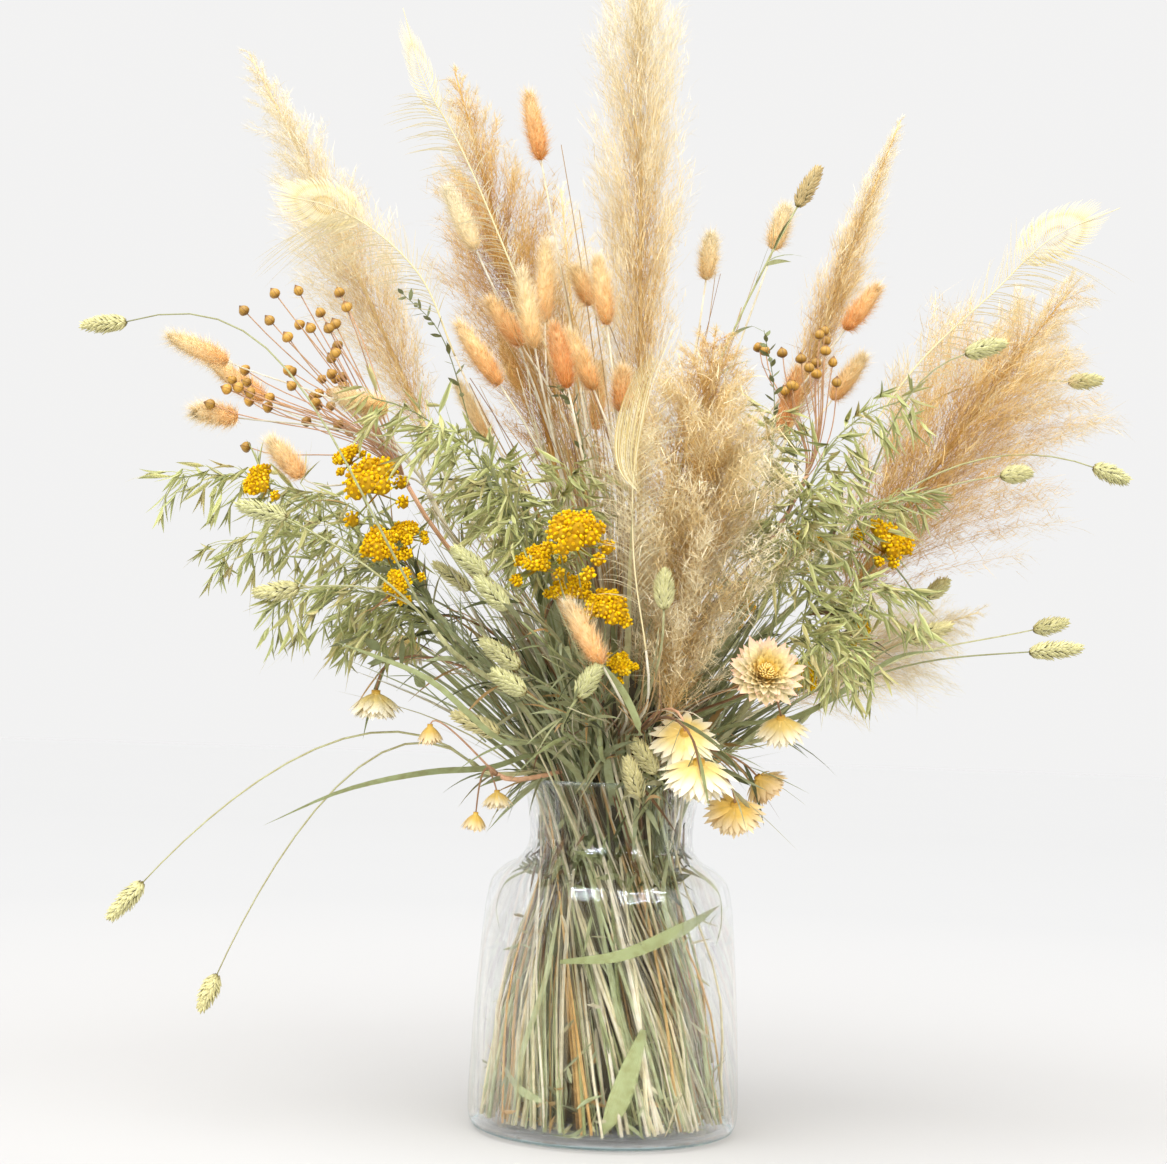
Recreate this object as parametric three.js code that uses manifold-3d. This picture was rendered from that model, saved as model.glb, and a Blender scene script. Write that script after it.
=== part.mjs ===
// A clear glass churn vase holding a bound bunch of dried flowers: pampas plumes, bleached peacock feathers,
// bunny tails, canary grass, oats, flax, yellow everlastings and strawflowers.
// Millimetres, +Z up, +Y away from the front. The origin is the centre of the vase's underside.
import * as THREE from "three";
import { mergeVertices } from "three/addons/utils/BufferGeometryUtils.js";
import Module from "manifold-3d";

const wasm = await Module();
wasm.setup();

// Driving dimensions

const VASE = {
  height: 245, baseRadius: 95, shoulderRadius: 87, neckRadius: 58.5, rimRadius: 63.5,
  wall: 3.2, floor: 7, heel: 9, sides: 24,
};
const SEAT_GAP = 0.3; // clear space between a piece and what it sits on
// The packed bunch as [height, radius] from its feet on the vase's floor to the ragged top.
const BUNDLE = [
  [VASE.floor + SEAT_GAP, 72], [70, 66], [130, 57], [180, 49], [212, 45], [240, 46], [285, 50], [322, 42],
];
const BUNCH = { ribs: 12, rib: 0.09, twist: 1.1, peak: 350, exit: 236, footRadius: 86, feet: 16 };
const STALK = { thick: 1.7, thin: 0.9, sides: 3 };
const PLUME_STALK = 2.6;
const FORK_STALK = 2.1;
const SEAT_ROOM = 2.4; // room kept under a head for the end of its stalk
const CLEARANCE = 0.45; // least distance kept between two separate pieces

// Flower places are read off the front view, in its pixels, u across and v down.
const VIEW = { across: 1167, down: 1164, focal: 2080, pitch: 4.3, roll: 1.95 };
const EYE = new THREE.Vector3(-26, -1500, 275);

const HUES = {
  glass: 0xdfeee9, stem: 0x8a9463, pampas: 0xd6bd95, feather: 0xf1e6bd, bunny: 0xf0b076,
  canary: 0xc9cf92, oats: 0x9fae7d, flax: 0xa87a2c, everlasting: 0xe5b41c, strawflower: 0xf3e2a6,
};

// Heads with a node of their own: pixels of the tip and the foot, and the depth behind the vase's axis

const BUNNY_TAILS = [
  { tip: [528, 90], foot: [541, 160], depth: 60 },
  { tip: [445, 185], foot: [476, 250], depth: 0 },
  { tip: [455, 320], foot: [500, 385], depth: -60 },
  { tip: [487, 298], foot: [522, 346], depth: -15 },
  { tip: [521, 268], foot: [535, 348], depth: -52 },
  { tip: [546, 238], foot: [545, 322], depth: 20 },
  { tip: [574, 266], foot: [592, 305], depth: 45 },
  { tip: [597, 254], foot: [607, 325], depth: -10 },
  { tip: [553, 322], foot: [568, 388], depth: -82 },
  { tip: [567, 330], foot: [594, 390], depth: -50 },
  { tip: [623, 368], foot: [622, 412], depth: -20 },
  { tip: [788, 205], foot: [773, 250], depth: 60 },
  { tip: [712, 232], foot: [706, 280], depth: 150 },
  { tip: [880, 285], foot: [845, 330], depth: 50 },
  { tip: [866, 355], foot: [832, 400], depth: 85 },
  { tip: [800, 365], foot: [780, 432], depth: 15 },
  { tip: [565, 600], foot: [602, 665], depth: -178 },
];
const STRAWFLOWERS = [
  { at: [763, 678], depth: -140, faces: [0.1, -0.9, 0.35], radius: 24, open: 1 },
  { at: [781, 716], depth: -112, faces: [0.1, 0.4, -0.9], radius: 20, open: 0.75 },
  { at: [685, 731], depth: -126, faces: [0.02, 0.75, -0.65], radius: 23, open: 1 },
  { at: [699, 760], depth: -158, faces: [0, 0.45, -0.9], radius: 26, open: 0.85 },
  { at: [735, 803], depth: -104, faces: [0.02, 0.6, -0.8], radius: 21, open: 1 },
  { at: [757, 776], depth: -75, faces: [0.6, 0.3, -0.7], radius: 18, open: 0.7 },
  { at: [376, 690], depth: -60, faces: [0, 0.12, -1], radius: 21, open: 0.6 },
  { at: [414, 636], depth: -20, faces: [-0.5, 0.1, -0.9], radius: 19, open: 0.6 },
];
const FEATHERS = [
  { path: [[455, 356], [420, 276], [368, 226], [325, 205], [285, 196]], depth: -30, eye: [23, 19] },
  { path: [[556, 372], [510, 262], [462, 150], [424, 80], [403, 8]], depth: -40, eye: [26, 9] },
  { path: [[646, 650], [634, 560], [634, 470], [648, 400], [672, 330]], depth: -182, eye: [34, 15] },
  { path: [[858, 446], [920, 362], [996, 290], [1052, 238], [1120, 208]], depth: -10, eye: [25, 19] },
];
const PLUMES = [
  { tip: [243, 42], foot: [432, 446], depth: [110, 60], spread: 38 },
  { tip: [452, 62], foot: [560, 490], depth: [120, 78], spread: 44 },
  { tip: [640, -64], foot: [640, 500], depth: [80, 30], spread: 42 },
  { tip: [716, 330], foot: [668, 728], depth: [-118, -98], spread: 52 },
  { tip: [904, 112], foot: [786, 440], depth: [150, 100], spread: 24 },
  { tip: [1078, 282], foot: [818, 640], depth: [60, 35], spread: 62 },
  { tip: [985, 610], foot: [770, 706], depth: [150, 80], spread: 34 },
  { tip: [560, 180], foot: [590, 560], depth: [290, 130], spread: 42 },
];

// Sprays: heads on branches that part at a fork, each in one node

const SPRAYS = {
  bunny_tails_left: {
    kind: "bunny", fork: [432, 500], depth: -74,
    heads: [
      { tip: [165, 335], foot: [228, 362], depth: -15 }, { tip: [205, 358], foot: [265, 400], depth: 25 },
      { tip: [190, 411], foot: [238, 418], depth: -65 }, { tip: [268, 440], foot: [302, 478], depth: -105 },
      { tip: [332, 396], foot: [388, 410], depth: -75 },
    ],
  },
  bunny_tails_back: {
    kind: "bunny", fork: [560, 520], depth: 175,
    heads: [
      { tip: [500, 330], foot: [520, 390], depth: 215 }, { tip: [455, 380], foot: [490, 440], depth: 190 },
      { tip: [600, 360], foot: [596, 430], depth: 235 },
    ],
  },
  canary_left: {
    kind: "canary", fork: [436, 632], depth: -128,
    heads: [
      { tip: [78, 326], foot: [127, 322], depth: -30 }, { tip: [232, 503], foot: [287, 518], depth: -140 },
      { tip: [250, 594], foot: [299, 588], depth: -110 },
    ],
  },
  canary_low_left: {
    kind: "canary", fork: [478, 768], depth: -30,
    heads: [
      { tip: [106, 922], foot: [143, 882], depth: -60 }, { tip: [200, 1012], foot: [217, 974], depth: -30 },
    ],
  },
  canary_right: {
    kind: "canary", fork: [822, 575], depth: -20,
    heads: [
      { tip: [1008, 342], foot: [965, 354], depth: -75 }, { tip: [1104, 380], foot: [1068, 382], depth: 110 },
      { tip: [1032, 472], foot: [1000, 476], depth: -50 }, { tip: [1131, 482], foot: [1093, 467], depth: -10 },
      { tip: [948, 580], foot: [927, 598], depth: 90 },
    ],
  },
  canary_low_right: {
    kind: "canary", fork: [800, 722], depth: -25,
    heads: [
      { tip: [955, 624], foot: [907, 641], depth: -60 }, { tip: [1069, 622], foot: [1033, 630], depth: 40 },
      { tip: [1087, 648], foot: [1029, 652], depth: -40 },
    ],
  },
  everlasting_front: {
    kind: "everlasting", fork: [600, 744], depth: -112,
    heads: [
      { at: [573, 530], depth: -172, radius: 16 }, { at: [535, 558], depth: -150, radius: 11 },
      { at: [568, 588], depth: -140, radius: 10 }, { at: [607, 607], depth: -165, radius: 12 },
      { at: [620, 664], depth: -150, radius: 7 },
    ],
  },
  everlasting_left: {
    kind: "everlasting", fork: [436, 612], depth: -88,
    heads: [
      { at: [370, 478], depth: -120, radius: 17 }, { at: [346, 456], depth: -90, radius: 8 },
      { at: [258, 480], depth: -95, radius: 11 },
      { at: [379, 545], depth: -130, radius: 12 }, { at: [405, 532], depth: -115, radius: 8 },
      { at: [398, 582], depth: -135, radius: 8 },
    ],
  },
  everlasting_right: {
    kind: "everlasting", fork: [812, 652], depth: -48,
    heads: [
      { at: [892, 540], depth: -55, radius: 14 }, { at: [861, 627], depth: -60, radius: 8 },
      { at: [806, 676], depth: -90, radius: 7 }, { at: [804, 545], depth: 15, radius: 10 },
    ],
  },
  everlasting_back: {
    kind: "everlasting", fork: [650, 640], depth: 110,
    heads: [
      { at: [560, 560], depth: 190, radius: 14 }, { at: [640, 580], depth: 205, radius: 12 },
      { at: [740, 600], depth: 185, radius: 13 },
    ],
  },
  strawflower_buds: {
    kind: "strawflower", fork: [496, 774], depth: -62,
    heads: [
      { at: [497, 790], depth: -62, faces: [0.05, 0.1, -1], radius: 13, open: 0.5 },
      { at: [476, 812], depth: -72, faces: [-0.1, 0.05, -1], radius: 12, open: 0.3 },
      { at: [430, 724], depth: -80, faces: [0.05, 0.1, -1], radius: 13, open: 0.3 },
    ],
  },
  strawflowers_back: {
    kind: "strawflower", fork: [640, 720], depth: 100,
    heads: [
      { at: [690, 730], depth: 140, faces: [0.3, 0.8, -0.3], radius: 20, open: 0.9 },
    ],
  },
  flax_left: { kind: "flax", fork: [408, 486], depth: -30, middle: [288, 372], spread: [62, 60, 45], balls: 12 },
  flax_right: { kind: "flax", fork: [802, 486], depth: 0, middle: [800, 366], spread: [40, 34, 30], balls: 6 },
  oats_left: {
    kind: "oats", fork: [462, 656], depth: -64,
    heads: [
      { tip: [178, 478], depth: -60 }, { tip: [228, 545], depth: -20 }, { tip: [290, 600], depth: -90 },
      { tip: [290, 500], depth: 50 }, { tip: [356, 620], depth: -40 },
    ],
  },
  oats_centre: {
    kind: "oats", fork: [548, 640], depth: -104,
    heads: [
      { tip: [372, 398], depth: -100 }, { tip: [440, 430], depth: -140 }, { tip: [500, 470], depth: -115 },
      { tip: [575, 470], depth: -95 },
    ],
  },
  oats_right: {
    kind: "oats", fork: [752, 672], depth: -78,
    heads: [
      { tip: [776, 420], depth: -60 }, { tip: [826, 480], depth: -110 }, { tip: [905, 400], depth: -60 },
      { tip: [915, 500], depth: -20 }, { tip: [905, 595], depth: -90 }, { tip: [850, 655], depth: -125 },
    ],
  },
  oats_back: {
    kind: "oats", fork: [620, 640], depth: 96,
    heads: [
      { tip: [440, 500], depth: 160 }, { tip: [560, 450], depth: 240 }, { tip: [740, 460], depth: 215 },
      { tip: [830, 540], depth: 160 },
    ],
  },
};

// What stands on the main stems themselves: canary grass heads and long grass leaves
const CANARY_ON_STEMS = [
  { tip: [450, 546], foot: [487, 576], depth: -168 },
  { tip: [474, 576], foot: [509, 610], depth: -190 },
  { tip: [478, 638], foot: [520, 668], depth: -160 },
  { tip: [490, 670], foot: [526, 694], depth: -188 },
  { tip: [448, 712], foot: [500, 734], depth: -120 },
  { tip: [600, 664], foot: [577, 698], depth: -182 },
  { tip: [664, 568], foot: [664, 610], depth: -192 },
  { tip: [632, 738], foot: [657, 774], depth: -118 },
  { tip: [626, 754], foot: [640, 800], depth: -136 },
  { tip: [822, 163], foot: [797, 207], depth: 0 },
  { tip: [430, 560], foot: [470, 590], depth: 190 },
  { tip: [800, 540], foot: [770, 590], depth: 195 },
];
const LEAVES = [
  { path: [[488, 768], [430, 772], [345, 790], [262, 826]], depth: -55, width: 4 },
  { path: [[500, 740], [430, 680], [372, 655], [330, 640]], depth: -150, width: 3.5 },
  { path: [[640, 730], [622, 690], [580, 640], [556, 570]], depth: -160, width: 4 },
  { path: [[800, 716], [860, 680], [900, 656], [945, 650]], depth: -70, width: 3.5 },
];

const BUNNY = { radius: 9.5, sides: 6, rows: 4, raise: 0.13, sweep: 22, fat: 0.6 };
const CANARY = { radius: 8, sides: 6, rows: 4, raise: 0.17, sweep: 18, fat: 0.72 };
const FLAX_RADIUS = 3.9;
const OAT = { length: 24, radius: 2.7, whorls: 3 };
const PLUME = { core: 0.42, rows: 7, tuft: 4, lean: 2.1 };
const FEATHER = { shaft: 1.3, barb: 0.8, barbs: 6, thick: 1.6, eyeAt: 0.78 };
const BRANCH = { bunny: 1, canary: 1, everlasting: 0.9, strawflower: 1, oats: 0.9, flax: 0.6 };

// Solid helpers

const UP = new THREE.Vector3(0, 0, 1);
const FRONT = new THREE.Vector3(0, -1, 0);
const radians = THREE.MathUtils.degToRad;
const mix = (a, b, t) => a + (b - a) * t;
const clamp01 = (t) => Math.min(1, Math.max(0, t));

function seededRandom(seed) {
  let state = seed >>> 0;
  return () => {
    state = (state + 0x6d2b79f5) >>> 0;
    let t = Math.imul(state ^ (state >>> 15), state | 1);
    t ^= t + Math.imul(t ^ (t >>> 7), t | 61);
    return ((t ^ (t >>> 14)) >>> 0) / 4294967296;
  };
}

// The point of the front view's pixel (u, v) that lies at this depth behind the vase's axis.
function seen([u, v], depth) {
  const pitch = radians(VIEW.pitch);
  const roll = radians(VIEW.roll);
  const ahead = new THREE.Vector3(0, Math.cos(pitch), Math.sin(pitch));
  const level = new THREE.Vector3(1, 0, 0);
  const above = new THREE.Vector3(0, -Math.sin(pitch), Math.cos(pitch));
  const right = level.clone().multiplyScalar(Math.cos(roll)).addScaledVector(above, Math.sin(roll));
  const top = above.clone().multiplyScalar(Math.cos(roll)).addScaledVector(level, -Math.sin(roll));
  const ray = ahead
    .addScaledVector(right, (u - VIEW.across / 2) / VIEW.focal)
    .addScaledVector(top, (VIEW.down / 2 - v) / VIEW.focal);
  return EYE.clone().addScaledVector(ray, (depth - EYE.y) / ray.y);
}

// A three.js geometry, closed once its seams are merged, as a solid for joining and cutting.
function solidOf(geometry) {
  const bare = new THREE.BufferGeometry().setAttribute("position", geometry.getAttribute("position"));
  bare.setIndex(geometry.index);
  const merged = mergeVertices(bare, 1e-4);
  const triVerts = new Uint32Array(merged.index.array);
  const vertProperties = new Float32Array(merged.attributes.position.array);
  const made = new wasm.Manifold(new wasm.Mesh({ numProp: 3, vertProperties, triVerts }));
  if (made.volume() >= 0) return made;
  for (let i = 0; i < triVerts.length; i += 3) triVerts.subarray(i, i + 2).reverse();
  return new wasm.Manifold(new wasm.Mesh({ numProp: 3, vertProperties, triVerts }));
}

// One closed skin through rings of points, each ring a loop of equal count or a single point. Where grow
// returns stages for a side face, the face is drawn out through those loops of three to their last point.
function loft(rings, grow = () => null) {
  const points = rings.flat();
  const index = [];
  const side = (face, row, k, half) => {
    const stages = grow(face.map((i) => points[i]), row, k, half) ?? [];
    for (const stage of stages) {
      const start = points.length;
      points.push(...stage);
      const next = stage.length === 1 ? [start, start, start] : [start, start + 1, start + 2];
      for (const [a, b] of [[0, 1], [1, 2], [2, 0]]) {
        index.push(face[a], face[b], next[b]);
        if (stage.length > 1) index.push(face[a], next[b], next[a]);
      }
      face = next;
    }
    if (stages.length === 0) index.push(...face);
  };
  let start = 0;
  for (let i = 0; i + 1 < rings.length; i++) {
    const [a, b] = [rings[i].length, rings[i + 1].length];
    for (let k = 0; k < Math.max(a, b); k++) {
      const [a0, a1] = [start + (k % a), start + ((k + 1) % a)];
      const [b0, b1] = [start + a + (k % b), start + a + ((k + 1) % b)];
      if (a > 1) side([a0, a1, b1], i, k, 0);
      if (b > 1) side([a0, b1, b0], i, k, 1);
    }
    start += a;
  }
  for (let k = 1; k + 1 < rings[0].length; k++) index.push(0, k + 1, k);
  for (let k = 1; k + 1 < rings.at(-1).length; k++) index.push(start, start + k, start + k + 1);
  const geometry = new THREE.BufferGeometry().setFromPoints(points);
  geometry.setIndex(index);
  return solidOf(geometry);
}

function middleOf(points) {
  return points.reduce((sum, point) => sum.add(point), new THREE.Vector3()).divideScalar(points.length);
}

function sideOf(axis) {
  const helper = Math.abs(axis.z) < 0.8 ? UP : new THREE.Vector3(1, 0, 0);
  return new THREE.Vector3().crossVectors(axis, helper).normalize();
}

// A loop of points round a centre, square to the axis; radiusOf gives each point's own radius.
function ring(centre, axis, side, radiusOf, sides, squeeze = 1) {
  const other = new THREE.Vector3().crossVectors(axis, side).normalize();
  return Array.from({ length: sides }, (_, k) => {
    const angle = (k / sides) * 2 * Math.PI;
    return centre.clone()
      .addScaledVector(side, Math.cos(angle) * radiusOf(k))
      .addScaledVector(other, Math.sin(angle) * radiusOf(k) * squeeze);
  });
}

// A tube or blade along points; radiusAt gives its radius from 0 at the root to 1 at the end.
function tube(points, radiusAt, { sides = STALK.sides, squeeze = 1, firstSide = null, endAxis = null, grow } = {}) {
  const last = points.length - 1;
  let side = firstSide;
  const rings = points.map((point, i) => {
    const along = points[Math.min(last, i + 1)].clone().sub(points[Math.max(0, i - 1)]).normalize();
    const axis = i === last && endAxis ? endAxis : along;
    side = side ?? sideOf(axis);
    side = side.clone().addScaledVector(axis, -side.dot(axis)).normalize();
    const radius = radiusAt(i / last);
    return radius > 0 ? ring(point, axis, side, () => radius, sides, squeeze) : [point];
  });
  return loft(rings, grow);
}

// A head along a line, its skin raised into rows of tufts or scales that lean towards its tip.
function tuftedHead(line, radiusAt, { sides, rows, raise, sweep, grow }) {
  const side = sideOf(line.getTangent(0));
  const rings = [];
  for (let row = 0; row <= rows; row++) {
    const t = row / rows;
    const centre = line.getPoint(t);
    const axis = line.getTangent(t);
    const straight = side.clone().addScaledVector(axis, -side.dot(axis)).normalize();
    const inside = row > 0 && row < rows;
    const up = (k) => (inside ? ((k + row) % 2 ? raise : -raise * 0.4) : 0);
    if (row === rows) {
      rings.push([centre]);
      break;
    }
    const loop = ring(centre, axis, straight, (k) => radiusAt(t) * (1 + up(k)), sides);
    rings.push(loop.map((point, k) => point.addScaledVector(axis, up(k) * sweep)));
  }
  return loft(rings, grow);
}

// The point at a share of the way along a run of straight stretches.
function pointAlong(points, t) {
  const at = Math.min(t * (points.length - 1), points.length - 1.0001);
  return mixPoints(points[Math.floor(at)], points[Math.floor(at) + 1], at % 1);
}

function joined(solids) {
  const whole = wasm.Manifold.union(solids).simplify(0.1);
  const bodies = whole.decompose();
  bodies.sort((a, b) => b.volume() - a.volume());
  return bodies[0];
}

// Clear ways: each piece leaves capsules here, and a later piece keeps off those of other nodes

const taken = [];

function take(node, points, radius) {
  for (let i = 0; i + 1 < points.length; i++) {
    taken.push({ node, from: points[i], to: points[i + 1], radius });
  }
}

// The distance between two straight stretches.
function distanceBetween(p1, q1, p2, q2) {
  const d1 = q1.clone().sub(p1);
  const d2 = q2.clone().sub(p2);
  const r = p1.clone().sub(p2);
  const [a, e, f] = [d1.lengthSq(), d2.lengthSq(), d2.dot(r)];
  const [b, c] = [d1.dot(d2), d1.dot(r)];
  const spread = a * e - b * b;
  let s = spread > 1e-9 ? clamp01((b * f - c * e) / spread) : 0;
  let t = (b * s + f) / Math.max(e, 1e-9);
  if (t < 0 || t > 1) {
    t = clamp01(t);
    s = clamp01((b * t - c) / Math.max(a, 1e-9));
  }
  return p1.clone().addScaledVector(d1, s).distanceTo(p2.clone().addScaledVector(d2, t));
}

function isClear(node, points, radius) {
  for (const other of taken) {
    if (other.node === node) continue;
    const least = other.radius + radius + CLEARANCE;
    for (let i = 0; i + 1 < points.length; i++) {
      if (distanceBetween(points[i], points[i + 1], other.from, other.to) < least) return false;
    }
  }
  return true;
}

// Sideways pushes that a way may be bent by, from none outwards.
const BENDS = [[0, 0]];
for (let size = 6; size <= 60; size += 6) {
  for (let k = 0; k < 8; k++) BENDS.push([size * Math.cos((k * Math.PI) / 4), size * Math.sin((k * Math.PI) / 4)]);
}

// A way takes more straight steps the further it turns.
function stepsFor(curve) {
  const middle = curve.getTangent(0.5);
  const turn = curve.getTangent(0).angleTo(middle) + middle.angleTo(curve.getTangent(1));
  return 2 + Math.min(3, Math.floor(turn / 0.7));
}

// A bent way between two ends, by the first bend that stays clear.
function clearWay(node, start, startWay, end, endWay, radius) {
  const reach = start.distanceTo(end);
  const along = end.clone().sub(start).normalize();
  const side = sideOf(along);
  const other = new THREE.Vector3().crossVectors(along, side);
  for (const [across, aside] of BENDS) {
    const push = side.clone().multiplyScalar(across).addScaledVector(other, aside);
    const first = start.clone().addScaledVector(startWay, reach * 0.4).addScaledVector(push, 0.6);
    const second = end.clone().addScaledVector(endWay, -reach * 0.35).add(push);
    const curve = new THREE.CubicBezierCurve3(start, first, second, end);
    const way = curve.getPoints(stepsFor(curve));
    if (isClear(node, way, radius)) return way;
  }
  throw new Error(`${node} has no clear way to ${end.toArray().map(Math.round)}`);
}

// The vase: a lathe through its outer and inner outline

function vaseSolid() {
  const { height, baseRadius, shoulderRadius, neckRadius, rimRadius, wall, floor, heel } = VASE;
  const outer = [
    [0, 0], [baseRadius - heel, 0], [baseRadius - 2.5, 3], [baseRadius, heel], [baseRadius - 0.5, 60],
    [mix(baseRadius, shoulderRadius, 0.5), 120], [shoulderRadius, 162], [shoulderRadius - 4, 176],
    [shoulderRadius - 13, 184.5], [neckRadius + 6, 190], [neckRadius + 0.6, 199], [neckRadius, 214],
    [rimRadius, height - 1.2],
  ];
  const inner = [
    [rimRadius - wall, height - 0.6], [neckRadius - wall, 213], [neckRadius + 0.6 - wall, 198],
    [shoulderRadius - 15, 181.5], [shoulderRadius - wall - 1, 168], [baseRadius - 0.5 - wall, 60],
    [baseRadius - wall - 0.5, floor + 5], [baseRadius - wall - 6, floor], [0, floor],
  ];
  const rim = [[rimRadius - wall / 2, height]];
  const outline = [...outer, ...rim, ...inner, [0, 0]].map(([r, z]) => new THREE.Vector2(r, z));
  const lathe = new THREE.LatheGeometry(outline, VASE.sides);
  lathe.rotateX(Math.PI / 2);
  return solidOf(lathe);
}

// The stems: the packed bunch, its feet fanned over the floor, and a stalk to each head

function bundleSolid() {
  const { ribs, rib, twist, peak } = BUNCH;
  const sides = ribs * 2;
  const rings = BUNDLE.map(([z, radius], row) => {
    const angle = (twist * Math.min(z, 240)) / 240;
    const side = new THREE.Vector3(Math.cos(angle), Math.sin(angle), 0);
    const ragged = row === BUNDLE.length - 1 ? 30 : 0;
    const loop = ring(new THREE.Vector3(0, 0, z), UP, side, (k) => radius * (1 + (k % 2 ? rib : -rib)), sides);
    return loop.map((point, k) => point.addScaledVector(UP, k % 2 ? ragged : 0));
  });
  return loft([...rings, [new THREE.Vector3(0, 0, peak)]]);
}

function footSolid(k) {
  const angle = k * 2.39996;
  const spread = mix(0.88, 1, (k * 0.618) % 1);
  const low = new THREE.Vector3().setFromCylindricalCoords(BUNCH.footRadius * spread, angle, 0);
  const high = new THREE.Vector3().setFromCylindricalCoords(40, angle + BUNCH.twist * 0.6, 0);
  const radius = k % 4 ? 1.7 : 2.7;
  const points = [
    new THREE.Vector3(low.x, low.z, VASE.floor + SEAT_GAP + radius + (k % 5) * 2),
    new THREE.Vector3(high.x, high.z, 205),
  ];
  return tube(points, (t) => (t === 0 ? radius : 0), { sides: k % 4 ? 3 : 4 });
}

// A stalk leaves the packed bunch further out the more its head leans.
function rootFor(point) {
  const flat = new THREE.Vector3(point.x, point.y, 0);
  const lean = Math.atan2(flat.length(), Math.max(20, point.z - 130)) / radians(80);
  return flat.normalize().multiplyScalar(Math.min(1, lean) * 33).setZ(BUNCH.exit);
}

const stemPieces = [];

function addStalk({ end, way, thick = STALK.thick, thin = STALK.thin }) {
  const root = rootFor(end);
  const leave = new THREE.Vector3(root.x, root.y, 100).normalize();
  const bent = clearWay("stems", root, leave, end, way, thick);
  take("stems", bent, thick);
  stemPieces.push(tube(bent, (t) => mix(thick, thin, t), { endAxis: way }));
}

// Heads

const headProfile = ({ radius, fat }, base) => (t) =>
  mix(base, radius, Math.pow(Math.sin(Math.PI * Math.pow(t, fat)), 0.8));

function spindleOf({ tip, foot, depth }) {
  const start = seen(foot, depth);
  const end = seen(tip, depth);
  return { foot: start, tip: end, axis: end.clone().sub(start).normalize() };
}

function spindleHead({ foot, tip }, look) {
  return tuftedHead(new THREE.LineCurve3(foot, tip), headProfile(look, 1.4), look);
}

// A head on another node's stalk leaves room at its foot for that stalk's own end.
function takeSpindle(node, { foot, tip, axis }, radius, room = SEAT_ROOM) {
  const low = foot.clone().addScaledVector(axis, room > 0 ? radius * 1.1 + room : radius * 0.4);
  const high = tip.clone().addScaledVector(axis, -radius * 0.5);
  take(node, [low, high], radius * 1.1);
}

function mixPoints(a, b, t) {
  return a.clone().lerp(b, t);
}

// A strawflower's outline: [radius, height] of its folds and of the bract tips, as shares of its size,
// the tips standing out on every second vertex, from the outer layer to the inner one.
const BRACT_ROWS = [
  { even: [0.3, 0.0], odd: [0.3, 0.0] },
  { even: [1, 0.18], odd: [0.6, 0.08] },
  { even: [0.42, 0.17], odd: [0.42, 0.19] },
  { even: [0.46, 0.3], odd: [0.78, 0.5] },
  { even: [0.3, 0.34], odd: [0.26, 0.36] },
];

function bloomOf({ at, depth, faces, radius, open }) {
  return { foot: seen(at, depth), axis: new THREE.Vector3(...faces).normalize(), radius, open };
}

// The foot is the calyx, where the stalk meets the bloom; a bloom that is less open has its bracts raised.
function strawflower({ foot, axis, radius, open }) {
  const side = sideOf(axis);
  const close = 1 - open;
  const sides = radius > 23 ? 16 : radius > 15 ? 14 : 10;
  const rings = BRACT_ROWS.map(({ even, odd }) => {
    const loop = ring(foot, axis, side, (k) => radius * (k % 2 ? odd : even)[0] * (1 - close * 0.5), sides);
    return loop.map((point, k) => {
      const [out, height] = k % 2 ? odd : even;
      return point.addScaledVector(axis, radius * (0.1 + height + out * close * 0.95));
    });
  });
  const crown = foot.clone().addScaledVector(axis, radius * (0.62 + close * 0.3));
  return loft([[foot.clone()], ...rings, [crown]]);
}

function takeBloom(node, { foot, axis, radius, open }) {
  const wide = radius * mix(0.62, 1.02, open);
  const half = radius * mix(0.5, 0.3, open);
  const middle = foot.clone().addScaledVector(axis, half + SEAT_ROOM);
  for (let k = 0; k < 3; k++) {
    const side = sideOf(axis).applyAxisAngle(axis, (k * Math.PI) / 3);
    take(node, [-1, 1].map((hand) => middle.clone().addScaledVector(side, hand * (wide - half))), half);
  }
}

function everlastingOf({ at, depth, radius }, fork) {
  const centre = seen(at, depth);
  const axis = centre.clone().sub(fork).normalize().addScaledVector(FRONT, depth < 0 ? 0.5 : -0.5).normalize();
  const foot = centre.clone().addScaledVector(axis, -radius * 0.8);
  return { foot, tip: centre.clone().addScaledVector(axis, radius * 0.5), axis, radius };
}

function everlastingHead({ foot, tip, radius }) {
  const look = { radius, fat: 1.3, sides: radius > 13 ? 8 : 6, rows: 3, raise: 0.14, sweep: 8 };
  return tuftedHead(new THREE.LineCurve3(foot, tip), headProfile(look, 1.2), look);
}

function oatHead({ tip, depth }, fork) {
  const end = seen(tip, depth);
  const out = end.clone().sub(fork).normalize();
  return { foot: end, tip: end, axis: out.clone().addScaledVector(UP, -0.7).normalize(), out };
}

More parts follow.
